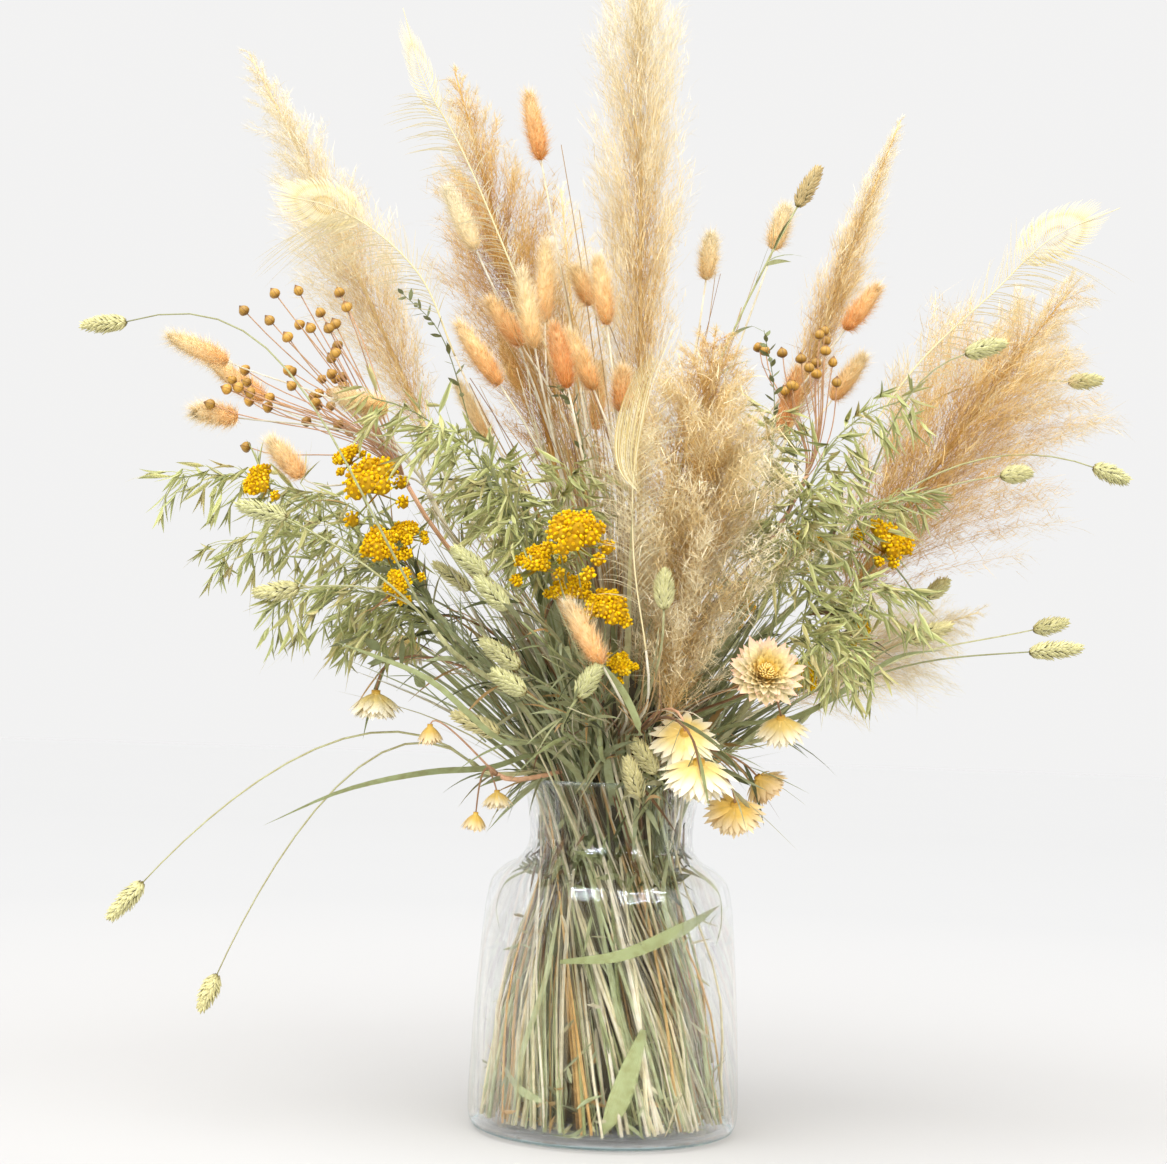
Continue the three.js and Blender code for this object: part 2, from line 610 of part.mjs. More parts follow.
// A panicle: a nodding stalk with whorls of three drooping spikelets drawn out of its sides.
function panicle(name, way, out, random) {
  const whorls = Array.from({ length: OAT.whorls }, (_, k) => mix(0.42, 0.96, k / (OAT.whorls - 1)));
  const bare = way.map((_, i) => i / (way.length - 1)).filter((t) => whorls.every((at) => Math.abs(at - t) > 0.09));
  const stops = [...whorls, ...bare].sort((a, b) => a - b);
  const points = [];
  const whorlRows = new Set();
  for (const t of stops) {
    const foot = pointAlong(way, t);
    points.push(foot);
    if (!whorls.includes(t)) continue;
    whorlRows.add(points.length - 1);
    points.push(foot.clone().addScaledVector(pointAlong(way, t + 0.02).sub(foot).normalize(), 2.6));
  }
  const hung = points.slice(1).map((to, i) => [points[i], to]);
  const grow = (face, row, k, half) => {
    if (!whorlRows.has(row) || half === 1) return null;
    const root = middleOf(face);
    const normal = new THREE.Vector3().crossVectors(face[1].clone().sub(face[0]), face[2].clone().sub(face[0]));
    normal.normalize();
    const reach = mix(11, 17, random());
    const belly = root.clone().addScaledVector(normal, reach).addScaledVector(out, 10);
    belly.z -= mix(1, 6, random());
    const hang = out.clone().multiplyScalar(0.6).addScaledVector(normal, 0.35).addScaledVector(UP, -0.7);
    hang.normalize();
    const tip = belly.clone().addScaledVector(hang, OAT.length * 0.66);
    const crosses = hung.some(([from, to]) => distanceBetween(from, to, belly, tip) < OAT.radius * 2.4);
    if (crosses || !isClear(name, [root, belly, tip], OAT.radius)) return null;
    take(name, [root, belly, tip], OAT.radius);
    hung.push([belly, tip]);
    const lean = belly.clone().sub(root).normalize();
    const loop = face.map((corner) => {
      const aside = corner.clone().sub(root);
      return aside.addScaledVector(lean, -aside.dot(lean)).setLength(OAT.radius).add(belly);
    });
    return [loop, [tip]];
  };
  return tube(points, () => BRANCH.oats, { grow });
}

// Nodes

const solids = new Map();
const hueOf = new Map();

function addNode(name, pieces, kind) {
  solids.set(name, pieces.length === 1 ? pieces[0] : joined(pieces));
  hueOf.set(name, HUES[kind]);
}

addNode("vase", [vaseSolid()], "glass");
for (let k = 0; k < 24; k++) {
  const points = [k, k + 1].map((step) => {
    const angle = (step * Math.PI) / 12;
    return new THREE.Vector3(Math.cos(angle), Math.sin(angle), 0).multiplyScalar(61.5).setZ(242);
  });
  take("vase", points, 4);
  take("vase", points.map((p) => p.clone().multiplyScalar(1.02).setZ(180)), 26);
}
for (let i = 5; i + 1 < BUNDLE.length; i++) {
  const [[low, lowRadius], [high, highRadius]] = [BUNDLE[i], BUNDLE[i + 1]];
  const radius = Math.max(lowRadius, highRadius) * (1 + BUNCH.rib);
  take("stems", [new THREE.Vector3(0, 0, low), new THREE.Vector3(0, 0, high)], radius);
}

// Everything that needs a stalk is placed first, so that the stalks and branches bend round it.
const stalkEnds = [];

function seat(foot, axis, look = {}) {
  stalkEnds.push({ end: foot.clone().addScaledVector(axis, -SEAT_GAP), way: axis, ...look });
}

BUNNY_TAILS.forEach((spec, k) => {
  const spindle = spindleOf(spec);
  takeSpindle(`bunny_tail_${k + 1}`, spindle, BUNNY.radius);
  addNode(`bunny_tail_${k + 1}`, [spindleHead(spindle, BUNNY)], "bunny");
  seat(spindle.foot, spindle.axis);
});

STRAWFLOWERS.forEach((spec, k) => {
  const bloom = bloomOf(spec);
  takeBloom(`strawflower_${k + 1}`, bloom);
  addNode(`strawflower_${k + 1}`, [strawflower(bloom)], "strawflower");
  seat(bloom.foot, bloom.axis);
});

for (const spec of CANARY_ON_STEMS) {
  const spindle = spindleOf(spec);
  takeSpindle("stems", spindle, CANARY.radius, 0);
  stemPieces.push(spindleHead(spindle, CANARY));
  stalkEnds.push({ end: spindle.foot.clone().addScaledVector(spindle.axis, 3), way: spindle.axis });
}

const headKinds = {
  bunny: (spec) => spindleOf(spec),
  canary: (spec) => spindleOf(spec),
  everlasting: everlastingOf,
  strawflower: (spec) => bloomOf(spec),
  oats: oatHead,
};
const takeKinds = {
  bunny: (name, head) => takeSpindle(name, head, BUNNY.radius, 0),
  canary: (name, head) => takeSpindle(name, head, CANARY.radius, 0),
  everlasting: (name, head) => takeSpindle(name, head, head.radius * 0.9, 0),
  strawflower: takeBloom,
  oats: () => {},
};
const drawKinds = {
  bunny: (head) => spindleHead(head, BUNNY),
  canary: (head) => spindleHead(head, CANARY),
  everlasting: everlastingHead,
  strawflower,
};

for (const [name, spray] of Object.entries(SPRAYS)) {
  spray.root = seen(spray.fork, spray.depth);
  spray.way = spray.root.clone().sub(new THREE.Vector3(0, 0, 170)).normalize();
  spray.placed = (spray.heads ?? []).map((spec) => headKinds[spray.kind](spec, spray.root));
  for (const head of spray.placed) takeKinds[spray.kind](name, head);
  const above = [5, 8].map((rise) => spray.root.clone().addScaledVector(spray.way, rise));
  take(name, above, FORK_STALK);
  seat(spray.root, spray.way, { thick: FORK_STALK, thin: FORK_STALK });
}

const plumeLines = PLUMES.map((plume, k) => {
  const foot = seen(plume.foot, plume.depth[1]);
  const tip = seen(plume.tip, plume.depth[0]);
  const lean = tip.clone().sub(foot);
  const middle = foot.clone().addScaledVector(lean, 0.5).addScaledVector(UP, lean.length() * 0.05);
  const line = new THREE.QuadraticBezierCurve3(foot, middle, tip);
  const points = line.getPoints(6);
  for (let i = 0; i < 6; i++) {
    const wide = Math.max(plumeWidth(i / 6), plumeWidth((i + 1) / 6));
    const from = i === 0 ? line.getPoint(0.11) : points[i];
    take(`pampas_${k + 1}`, [from, points[i + 1]], plume.spread * PLUME.core * wide * 1.1);
  }
  const way = line.getTangent(0);
  seat(foot, way, { thick: PLUME_STALK, thin: PLUME_STALK * 0.7 });
  return line;
});

// A plume's width along its line, as a share of its spread.
function plumeWidth(t) {
  return Math.pow(Math.sin(Math.PI * Math.pow(mix(0.03, 1, t), 0.8)), 0.75);
}

const featherLines = FEATHERS.map((feather, k) => {
  const line = new THREE.CatmullRomCurve3(feather.path.map((place) => seen(place, feather.depth)));
  const name = `feather_${k + 1}`;
  take(name, [line.getPoint(0.04), ...line.getPoints(8).slice(1)], FEATHER.shaft);
  const long = feather.eye[0] / line.getLength();
  const reach = [line.getPoint(FEATHER.eyeAt - long * 0.5), line.getPoint(Math.min(1, FEATHER.eyeAt + long * 0.5))];
  take(name, reach, feather.eye[1]);
  seat(line.getPoint(0), line.getTangent(0));
  return line;
});

for (const stalk of stalkEnds) addStalk(stalk);

for (const leaf of LEAVES) {
  const points = leaf.path.map((place) => seen(place, leaf.depth));
  const root = rootFor(points[0]);
  const rise = mixPoints(root, points[0], 0.5).addScaledVector(UP, 18);
  const way = new THREE.CatmullRomCurve3([root, rise, ...points]).getPoints(6);
  take("stems", way, leaf.width * 0.8);
  const width = (t) => (t >= 1 ? 0 : mix(1, leaf.width, Math.sin(Math.PI * t)));
  stemPieces.push(tube(way, width, { sides: 4, squeeze: 0.22, firstSide: new THREE.Vector3(0, 1, 0) }));
}

for (let k = 0; k < BUNCH.feet; k++) stemPieces.push(footSolid(k));
stemPieces.push(bundleSolid());
addNode("stems", stemPieces, "stem");

// A branch's way from a fork to a head, bent clear of the other nodes.
function branchWay(name, { root, way }, end, endWay, radius) {
  const start = root.clone().addScaledVector(way, 4);
  const bent = clearWay(name, start, way, end, endWay, radius);
  take(name, bent, radius);
  return bent;
}

function forkPiece({ root, way }) {
  return tube([root, root.clone().addScaledVector(way, 9)], () => FORK_STALK * 0.8, { sides: 4 });
}

// A seed capsule and its hairlike stalk in one skin.
function capsule(way, axis) {
  const end = way.at(-1);
  const side = sideOf(axis);
  const loop = (centre, radius) => ring(centre, axis, side, () => radius, 4);
  const above = (rise) => end.clone().addScaledVector(axis, FLAX_RADIUS * rise);
  return loft([
    ...way.map((point) => loop(point, BRANCH.flax)), loop(above(0.55), FLAX_RADIUS * 0.95),
    loop(above(1.35), FLAX_RADIUS * 0.85), [above(2)],
  ]);
}

function flaxPieces(name, spray, random) {
  const pieces = [];
  const centres = [];
  for (let tries = 0; tries < spray.balls * 8 && centres.length < spray.balls; tries++) {
    const angle = random() * 2 * Math.PI;
    const share = Math.sqrt(random());
    const deep = (random() - 0.5) * 2 * spray.spread[2];
    const across = spray.middle[0] + Math.cos(angle) * share * spray.spread[0];
    const down = spray.middle[1] + Math.sin(angle) * share * spray.spread[1];
    const foot = seen([across, down], spray.depth + deep);
    const axis = foot.clone().sub(spray.root).normalize();
    const points = [foot.clone().addScaledVector(axis, FLAX_RADIUS), foot.clone().addScaledVector(axis, 5)];
    const crowded = centres.some((centre) => centre.distanceTo(foot) < FLAX_RADIUS * 2.6);
    if (crowded || !isClear(name, points, FLAX_RADIUS)) continue;
    const way = branchWay(name, spray, foot, axis, BRANCH.flax);
    take(name, points, FLAX_RADIUS);
    centres.push(foot);
    pieces.push(capsule(way, axis));
  }
  return pieces;
}

for (const [name, spray] of Object.entries(SPRAYS)) {
  const { kind, placed } = spray;
  const random = seededRandom(spray.fork[0] + 3);
  const pieces = [forkPiece(spray)];
  if (kind === "flax") pieces.push(...flaxPieces(name, spray, random));
  for (const head of placed) {
    const sunk = kind === "oats" ? 0 : 3;
    const end = head.foot.clone().addScaledVector(head.axis, sunk);
    const way = branchWay(name, spray, end, head.axis, BRANCH[kind]);
    if (kind === "oats") {
      pieces.push(panicle(name, way, head.out, random));
      continue;
    }
    pieces.push(tube(way, () => BRANCH[kind]), drawKinds[kind](head));
  }
  addNode(name, pieces, kind);
}

// A feather: a shaft whose sides are drawn out into forward leaning barbs, and an eye with a frilled edge.
FEATHERS.forEach((feather, n) => {
  const name = `feather_${n + 1}`;
  const line = featherLines[n];
  const random = seededRandom(feather.path[0][0]);
  const middle = line.getPoint(FEATHER.eyeAt);
  const way = line.getTangent(FEATHER.eyeAt);
  const side = new THREE.Vector3().crossVectors(way, FRONT).normalize();
  const face = new THREE.Vector3().crossVectors(side, way).normalize();
  const shares = [0];
  for (let k = 0; k < FEATHER.barbs; k++) {
    const t = mix(0.16, 0.7, k / (FEATHER.barbs - 1));
    shares.push(t, t + 3 / line.getLength());
  }
  shares.push(0.9, 1);
  const barbs = [];
  const grow = (corners, row, k, half) => {
    const t = shares[row];
    if (row % 2 === 0 || row > FEATHER.barbs * 2 || k === 1 || half === 1) return null;
    const root = middleOf(corners);
    const forward = line.getTangent(t);
    const out = side.clone().multiplyScalar(Math.sign(root.clone().sub(shaft[row]).dot(side)));
    const length = mix(34, 48, random());
    for (const share of [1, 0.75, 0.5]) {
      const reach = out.clone().multiplyScalar(0.75).addScaledVector(forward, 0.8).multiplyScalar(length * share);
      const tip = root.clone().add(reach);
      const crosses = barbs.some(([from, to]) => distanceBetween(from, to, root, tip) < FEATHER.barb * 2);
      if (crosses || !isClear(name, [root, tip], FEATHER.barb)) continue;
      take(name, [root, tip], FEATHER.barb);
      barbs.push([root, tip]);
      return [[tip]];
    }
    return null;
  };
  const shaft = shares.map((t) => line.getPoint(t));
  const pieces = [tube(shaft, (t) => mix(FEATHER.shaft, 0.7, t), { firstSide: face, grow })];
  const [long, wide] = feather.eye;
  const oval = (share, frill, lift) => Array.from({ length: 14 }, (_, k) => {
    const angle = (k / 14) * 2 * Math.PI;
    const reach = share * (k % 2 ? 1 - frill : 1);
    return middle.clone()
      .addScaledVector(way, Math.cos(angle) * long * reach)
      .addScaledVector(side, Math.sin(angle) * wide * reach)
      .addScaledVector(face, lift);
  });
  const back = middle.clone().addScaledVector(face, -FEATHER.thick);
  const front = middle.clone().addScaledVector(face, FEATHER.thick);
  pieces.push(loft([[back], oval(1, 0.25, 0), oval(0.5, 0, 1.8), [front]]));
  addNode(name, pieces, "feather");
});

// A plume: a slim core whose sides are drawn out into silky tufts that lean towards its tip.
PLUMES.forEach((plume, n) => {
  const name = `pampas_${n + 1}`;
  const line = plumeLines[n];
  const random = seededRandom(plume.foot[0] * 3 + 1);
  const width = (t) => (t === 0 ? 2.4 : plume.spread * PLUME.core * plumeWidth(t));
  const grow = (face, row, k, half) => {
    const t = (row + 0.5) / PLUME.rows;
    if (row === PLUME.rows - 1 || (half === 1 && (row + k) % 2)) return null;
    const root = middleOf(face);
    const forward = line.getTangent(t);
    const out = root.clone().sub(line.getPoint(t));
    out.addScaledVector(forward, -out.dot(forward)).normalize();
    const spread = plume.spread * mix(0.5, 0.75, random()) * plumeWidth(mix(t, 1, 0.25));
    const tip = root.clone().addScaledVector(out, spread).addScaledVector(forward, spread * PLUME.lean);
    const edges = face.map((corner) => [corner, tip]);
    const clear = edges.every((edge) => isClear(name, edge, 1.2)) && isClear(name, [root, tip], PLUME.tuft);
    if (!clear) return null;
    take(name, [root, tip], PLUME.tuft);
    for (const edge of edges) take(name, edge, 1);
    return [[tip]];
  };
  const look = { sides: 6, rows: PLUME.rows, raise: 0.12, sweep: 20, grow };
  addNode(name, [tuftedHead(line, width, look)], "pampas");
});

// Scene

function meshOf(name) {
  const { numProp, vertProperties, triVerts } = solids.get(name).getMesh();
  const positions = new Float32Array((vertProperties.length / numProp) * 3);
  for (let i = 0; i < positions.length / 3; i++) {
    positions.set(vertProperties.subarray(i * numProp, i * numProp + 3), i * 3);
  }
  const geometry = new THREE.BufferGeometry();
  geometry.setAttribute("position", new THREE.BufferAttribute(positions, 3));
  geometry.setIndex(new THREE.BufferAttribute(triVerts, 1));
  geometry.computeVertexNormals();
  const glass = name === "vase";
  const material = new THREE.MeshStandardMaterial({
    color: hueOf.get(name), roughness: glass ? 0.05 : 0.85, metalness: 0, transparent: glass,
    opacity: glass ? 0.35 : 1,
  });
  const mesh = new THREE.Mesh(geometry, material);
  mesh.name = name;
  return mesh;
}

const group = new THREE.Group();
for (const name of solids.keys()) group.add(meshOf(name));

export default group;
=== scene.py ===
"""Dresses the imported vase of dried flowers: clear glass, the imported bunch, silky pampas plumes, bleached
feathers, furry bunny tails, scaly canary grass, nodding oats, flax, everlastings and layered strawflowers.
Places are in millimetres in the part's own frame, and become metres where a mesh is made."""
import math

import bmesh
import bpy
import numpy as np
from mathutils import Matrix, Vector


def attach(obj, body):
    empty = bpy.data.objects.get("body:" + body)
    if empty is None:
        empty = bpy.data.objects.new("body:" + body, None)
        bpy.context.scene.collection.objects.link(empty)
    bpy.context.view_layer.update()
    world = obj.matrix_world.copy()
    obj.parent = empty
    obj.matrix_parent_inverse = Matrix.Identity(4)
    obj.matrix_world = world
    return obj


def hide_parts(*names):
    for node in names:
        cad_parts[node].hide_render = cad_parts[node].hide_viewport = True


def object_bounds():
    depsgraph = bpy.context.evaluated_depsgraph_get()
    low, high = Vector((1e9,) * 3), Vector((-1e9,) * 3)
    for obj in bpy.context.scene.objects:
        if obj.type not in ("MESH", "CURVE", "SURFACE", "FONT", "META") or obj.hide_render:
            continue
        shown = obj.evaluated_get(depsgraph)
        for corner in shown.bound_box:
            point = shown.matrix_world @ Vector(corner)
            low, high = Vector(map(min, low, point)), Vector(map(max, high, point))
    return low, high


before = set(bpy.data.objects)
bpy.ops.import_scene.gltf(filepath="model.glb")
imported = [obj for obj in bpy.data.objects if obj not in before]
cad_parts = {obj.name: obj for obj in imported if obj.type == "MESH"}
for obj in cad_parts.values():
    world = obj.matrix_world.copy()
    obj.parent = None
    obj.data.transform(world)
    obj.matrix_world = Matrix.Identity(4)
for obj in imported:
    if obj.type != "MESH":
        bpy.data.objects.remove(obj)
cad_box = [list(corner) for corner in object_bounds()]

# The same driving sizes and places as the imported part

VASE = dict(height=245, base=95, shoulder=87, neck=58.5, rim=63.5, wall=3.2, floor=7, heel=9)
ABOVE_NECK = [(240, 46), (285, 50), (322, 42)]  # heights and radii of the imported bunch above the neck
EXIT = 236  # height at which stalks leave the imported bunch
RIB = 0.09
STALK = dict(thick=1.7, thin=0.9)
PLUME_STALK = 2.6
FORK_STALK = 2.1
SEAT_GAP = 0.3
SEAT_ROOM = 2.4
SUNK = 3  # how far a branch runs into its head
RINGS = [(61.5, 242, 4), (62.73, 180, 26)]  # rim and neck that stalks keep off: radius, height, thickness
CLEARANCE = 0.45
BUNNY_RADIUS = 9.5
CANARY_RADIUS = 8
FLAX_RADIUS = 3.9
PLUME_CORE = 0.42
FEATHER_SHAFT = 1.3
EYE_AT = 0.78  # share of a feather's shaft at which its eye lies
WIDEST_EYE = 19
BRANCH = dict(bunny=1, canary=1, everlasting=0.9, strawflower=1, oats=0.9, flax=0.6)

# The photograph's camera, in its pixels, degrees and millimetres
VIEW = dict(across=1167, down=1164, focal=2080, pitch=4.3, roll=1.95, eye=(-26, -1500, 275))

# Bunny tails: pixels of the tip and of the foot, depth behind the vase's axis, tone from 0, cream, to 1, rust
BUNNY_TAILS = [
    ((528, 90), (541, 160), 60, 0.64), ((445, 185), (476, 250), 0, 0.04),
    ((455, 320), (500, 385), -60, 0.54), ((487, 298), (522, 346), -15, 0.62),
    ((521, 268), (535, 348), -52, 0.32), ((546, 238), (545, 322), 20, 0.4),
    ((574, 266), (592, 305), 45, 0.5), ((597, 254), (607, 325), -10, 0.46),
    ((553, 322), (568, 388), -82, 0.95), ((567, 330), (594, 390), -50, 0.52),
    ((623, 368), (622, 412), -20, 0.66), ((788, 205), (773, 250), 60, 0.25),
    ((712, 232), (706, 280), 150, 0.2), ((880, 285), (845, 330), 50, 0.66),
    ((866, 355), (832, 400), 85, 0.4), ((800, 365), (780, 432), 15, 0.8),
    ((565, 600), (602, 665), -178, 0.5),
]
# Strawflowers: pixel of the calyx, depth, the way that each faces, radius, openness, tone
STRAWFLOWERS = [
    ((763, 678), -140, (0.1, -0.9, 0.35), 24, 1, 1.0),
    ((781, 716), -112, (0.1, 0.4, -0.9), 20, 0.75, 0.3),
    ((685, 731), -126, (0.02, 0.75, -0.65), 23, 1, 0.25),
    ((699, 760), -158, (0, 0.45, -0.9), 26, 0.85, 0.15),
    ((735, 803), -104, (0.02, 0.6, -0.8), 21, 1, 0.5),
    ((757, 776), -75, (0.6, 0.3, -0.7), 18, 0.7, 0.6),
    ((376, 690), -60, (0, 0.12, -1), 21, 0.6, 0.12),
    ((414, 636), -20, (-0.5, 0.1, -0.9), 19, 0.6, 0.1),
]
# Feathers: pixels along the shaft, depth, half length and half width of the eye, how closely its barbs lie
FEATHERS = [
    ([(455, 356), (420, 276), (368, 226), (325, 205), (285, 196)], -30, (23, 19), 0.8),
    ([(556, 372), (510, 262), (462, 150), (424, 80), (403, 8)], -40, (26, 9), 1),
    ([(646, 650), (634, 560), (634, 470), (648, 400), (672, 330)], -182, (34, 15), 0.3),
    ([(858, 446), (920, 362), (996, 290), (1052, 238), (1120, 208)], -10, (25, 19), 0.8),
]
CURLED = 2  # the front feather, whose far edge curls
# The curled edge: pixels along it, its depth, and how many pixels its barbs bulge
CURL = ([(676, 326), (636, 372), (616, 430), (619, 470), (642, 496)], -196, 26)
# Plumes: pixels of the tip and of the foot, their depths, half width, tone from 0, pale, to 1, brown, fuzz,
# how far the hair stands out in half widths, bluntness of the end, and the most short hairs to a branchlet
PLUMES = [
    ((243, 42), (432, 446), 110, 60, 38, 0.18, 0.3, 1.1, 0.1, 300),
    ((452, 62), (560, 490), 120, 78, 44, 0.72, 0.35, 1.35, 0.3, 380),
    ((640, -64), (640, 500), 80, 30, 42, 0.26, 0.1, 0.92, 1.3, 400),
    ((716, 330), (668, 728), -118, -98, 52, 0.34, 1, 1.3, 0.7, 500),
    ((904, 112), (786, 440), 150, 100, 24, 0.42, 0.1, 0.8, 0.1, 200),
    ((1078, 282), (818, 640), 60, 35, 62, 0.56, 0.45, 1.3, 0.8, 480),
    ((985, 610), (770, 706), 150, 80, 34, 0.1, 0.2, 1.4, 0.3, 240),
    ((560, 180), (590, 560), 290, 130, 42, 0.4, 0.4, 1.1, 0.4, 150),
]
# Sprays: heads on branches that part at a fork. Bunny tails and canary grass are (tip, foot, depth, tone),
# everlastings (at, depth, radius), strawflowers (at, depth, faces, radius, open, tone) and oats (tip, depth).
# Flax has a middle, a spread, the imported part's balls, and all the capsules that show
SPRAYS = {
    "bunny_tails_left": dict(kind="bunny", fork=(432, 500), depth=-74, heads=[
        ((165, 335), (228, 362), -15, 0.4), ((205, 358), (265, 400), 25, 0.5),
        ((190, 411), (238, 418), -65, 0.42), ((268, 440), (302, 478), -105, 0.44),
        ((332, 396), (388, 410), -75, 0.36)]),
    "bunny_tails_back": dict(kind="bunny", fork=(560, 520), depth=175, heads=[
        ((500, 330), (520, 390), 215, 0.5), ((455, 380), (490, 440), 190, 0.3),
        ((600, 360), (596, 430), 235, 0.7)]),
    "canary_left": dict(kind="canary", fork=(436, 632), depth=-128, heads=[
        ((78, 326), (127, 322), -30, 0.3), ((232, 503), (287, 518), -140, 0.1),
        ((250, 594), (299, 588), -110, 0.3)]),
    "canary_low_left": dict(kind="canary", fork=(478, 768), depth=-30, heads=[
        ((106, 922), (143, 882), -60, 0.3), ((200, 1012), (217, 974), -30, 0.4)]),
    "canary_right": dict(kind="canary", fork=(822, 575), depth=-20, heads=[
        ((1008, 342), (965, 354), -75, 0.2), ((1104, 380), (1068, 382), 110, 0.3),
        ((1032, 472), (1000, 476), -50, 0.3), ((1131, 482), (1093, 467), -10, 0.2),
        ((948, 580), (927, 598), 90, 0.3)]),
    "canary_low_right": dict(kind="canary", fork=(800, 722), depth=-25, heads=[
        ((955, 624), (907, 641), -60, 0.5), ((1069, 622), (1033, 630), 40, 0.3),
        ((1087, 648), (1029, 652), -40, 0.3)]),
    "everlasting_front": dict(kind="everlasting", fork=(600, 744), depth=-112, heads=[
        ((573, 530), -172, 16), ((535, 558), -150, 11), ((568, 588), -140, 10), ((607, 607), -165, 12),
        ((620, 664), -150, 7)]),
    "everlasting_left": dict(kind="everlasting", fork=(436, 612), depth=-88, heads=[
        ((370, 478), -120, 17), ((346, 456), -90, 8), ((258, 480), -95, 11), ((379, 545), -130, 12),
        ((405, 532), -115, 8), ((398, 582), -135, 8)]),
    "everlasting_right": dict(kind="everlasting", fork=(812, 652), depth=-48, heads=[
        ((892, 540), -55, 14), ((861, 627), -60, 8), ((806, 676), -90, 7), ((804, 545), 15, 10)]),
    "everlasting_back": dict(kind="everlasting", fork=(650, 640), depth=110, heads=[
        ((560, 560), 190, 14), ((640, 580), 205, 12), ((740, 600), 185, 13)]),
    "strawflower_buds": dict(kind="strawflower", fork=(496, 774), depth=-62, heads=[
        ((497, 790), -62, (0.05, 0.1, -1), 13, 0.5, 0.4), ((476, 812), -72, (-0.1, 0.05, -1), 12, 0.3, 0.5),
        ((430, 724), -80, (0.05, 0.1, -1), 13, 0.3, 0.5)]),
    "strawflowers_back": dict(kind="strawflower", fork=(640, 720), depth=100, heads=[
        ((690, 730), 140, (0.3, 0.8, -0.3), 20, 0.9, 0.3)]),
    "flax_left": dict(
        kind="flax", fork=(408, 486), depth=-30, middle=(288, 372), spread=(62, 60, 45), balls=12, capsules=46),
    "flax_right": dict(
        kind="flax", fork=(802, 486), depth=0, middle=(800, 366), spread=(40, 34, 30), balls=6, capsules=16),
    "oats_left": dict(kind="oats", fork=(462, 656), depth=-64, heads=[
        ((178, 478), -60), ((228, 545), -20), ((290, 600), -90), ((290, 500), 50), ((356, 620), -40)]),
    "oats_centre": dict(kind="oats", fork=(548, 640), depth=-104, heads=[
        ((372, 398), -100), ((440, 430), -140), ((500, 470), -115), ((575, 470), -95)]),
    "oats_right": dict(kind="oats", fork=(752, 672), depth=-78, heads=[
        ((776, 420), -60), ((826, 480), -110), ((905, 400), -60), ((915, 500), -20), ((905, 595), -90),
        ((850, 655), -125)]),
    "oats_back": dict(kind="oats", fork=(620, 640), depth=96, heads=[
        ((440, 500), 160), ((560, 450), 240), ((740, 460), 215), ((830, 540), 160)]),
}
# Canary grass heads on the main stems: tip, foot, depth, tone
CANARY_ON_STEMS = [
    ((450, 546), (487, 576), -168, 0.1), ((474, 576), (509, 610), -190, 0.1),
    ((478, 638), (520, 668), -160, 0.2), ((490, 670), (526, 694), -188, 0.15),
    ((448, 712), (500, 734), -120, 0.5), ((600, 664), (577, 698), -182, 0.1),
    ((664, 568), (664, 610), -192, 0.25), ((632, 738), (657, 774), -118, 0.4),
    ((626, 754), (640, 800), -136, 0.45), ((822, 163), (797, 207), 0, 0.7),
    ((430, 560), (470, 590), 190, 0.3), ((800, 540), (770, 590), 195, 0.3),
]
# Long grass leaves: pixels along each, depth, half width
LEAVES = [
    ([(488, 768), (430, 772), (345, 790), (262, 826)], -55, 4),
    ([(500, 740), (430, 680), (372, 655), (330, 640)], -150, 3.5),
    ([(640, 730), (622, 690), (580, 640), (556, 570)], -160, 4),
    ([(800, 716), (860, 680), (900, 656), (945, 650)], -70, 3.5),
]

# What only the scene has

# Leaves pressed to the inside of the glass: pixels along each, half width, tone
GLASS_LEAVES = [
    ([(560, 962), (620, 956), (682, 930), (722, 905)], 4.6, 0.14),
    ([(644, 1030), (632, 1066), (618, 1104), (600, 1144)], 7.6, 0.12),
    ([(690, 866), (722, 893), (724, 920), (716, 946)], 3.2, 0.05),
    ([(532, 868), (504, 884), (492, 905), (500, 932)], 1.6, 0.1),
    ([(655, 800), (668, 850), (664, 900), (690, 1000)], 2.2, 0.06),
    ([(560, 900), (545, 980), (520, 1060), (512, 1130)], 2.4, 0.04),
    ([(500, 1062), (520, 1090), (548, 1104)], 3.0, 0.05),
]
# Dark sprigs: pixels along each, depth, length of a leaf, and how many
SPRIGS = [
    ([(520, 620), (474, 440), (438, 330), (402, 293)], -30, 9, 18),
    ([(592, 620), (588, 490), (574, 410), (556, 384)], -60, 9, 16),
    ([(756, 620), (770, 480), (774, 390), (764, 330)], -20, 9, 20),
    ([(486, 742), (440, 700), (396, 662), (356, 636)], -90, 20, 7),
    ([(800, 640), (812, 560), (800, 500), (796, 440)], -70, 9, 14),
]
# Tones of the stalks in the stem paint's scale, by the kind of head that each carries
KIND_TONES = dict(
    bunny=0.55, strawflower=0.86, canary=0.22, everlasting=0.1, flax=0.8, oats=0.12, feather=0.6, pampas=0.42,
)
FUR_CORE = 5.6
# Bunny tail hairs: how many, shortest, longest, scatter of their ways, rows of points, half width
FUR = [(2200, 5, 10.5, 0.5, 2, 0.25), (420, 9, 15, 0.4, 3, 0.13)]
CANARY_CORE = 4.4
CANARY_SCALES = 150
BRACT_ROWS = 9
DISC_FLORETS = 70
LOBE_BEADS = 18  # beads to a lobe of an everlasting
LOOSE_LOBES = 4
LOOSE_BEADS = 12
OAT_WHORLS = 12
SPIKELETS = 6  # to a whorl
# Husks of a spikelet: the hand that each opens to, length as a share, half width, how much paler
HUSKS = [(1, 1, 1.6, 0), (-1, 0.95, 1.55, 0), (0.2, 0.75, 1.1, 0.2), (-0.35, 0.62, 0.9, 0.3)]
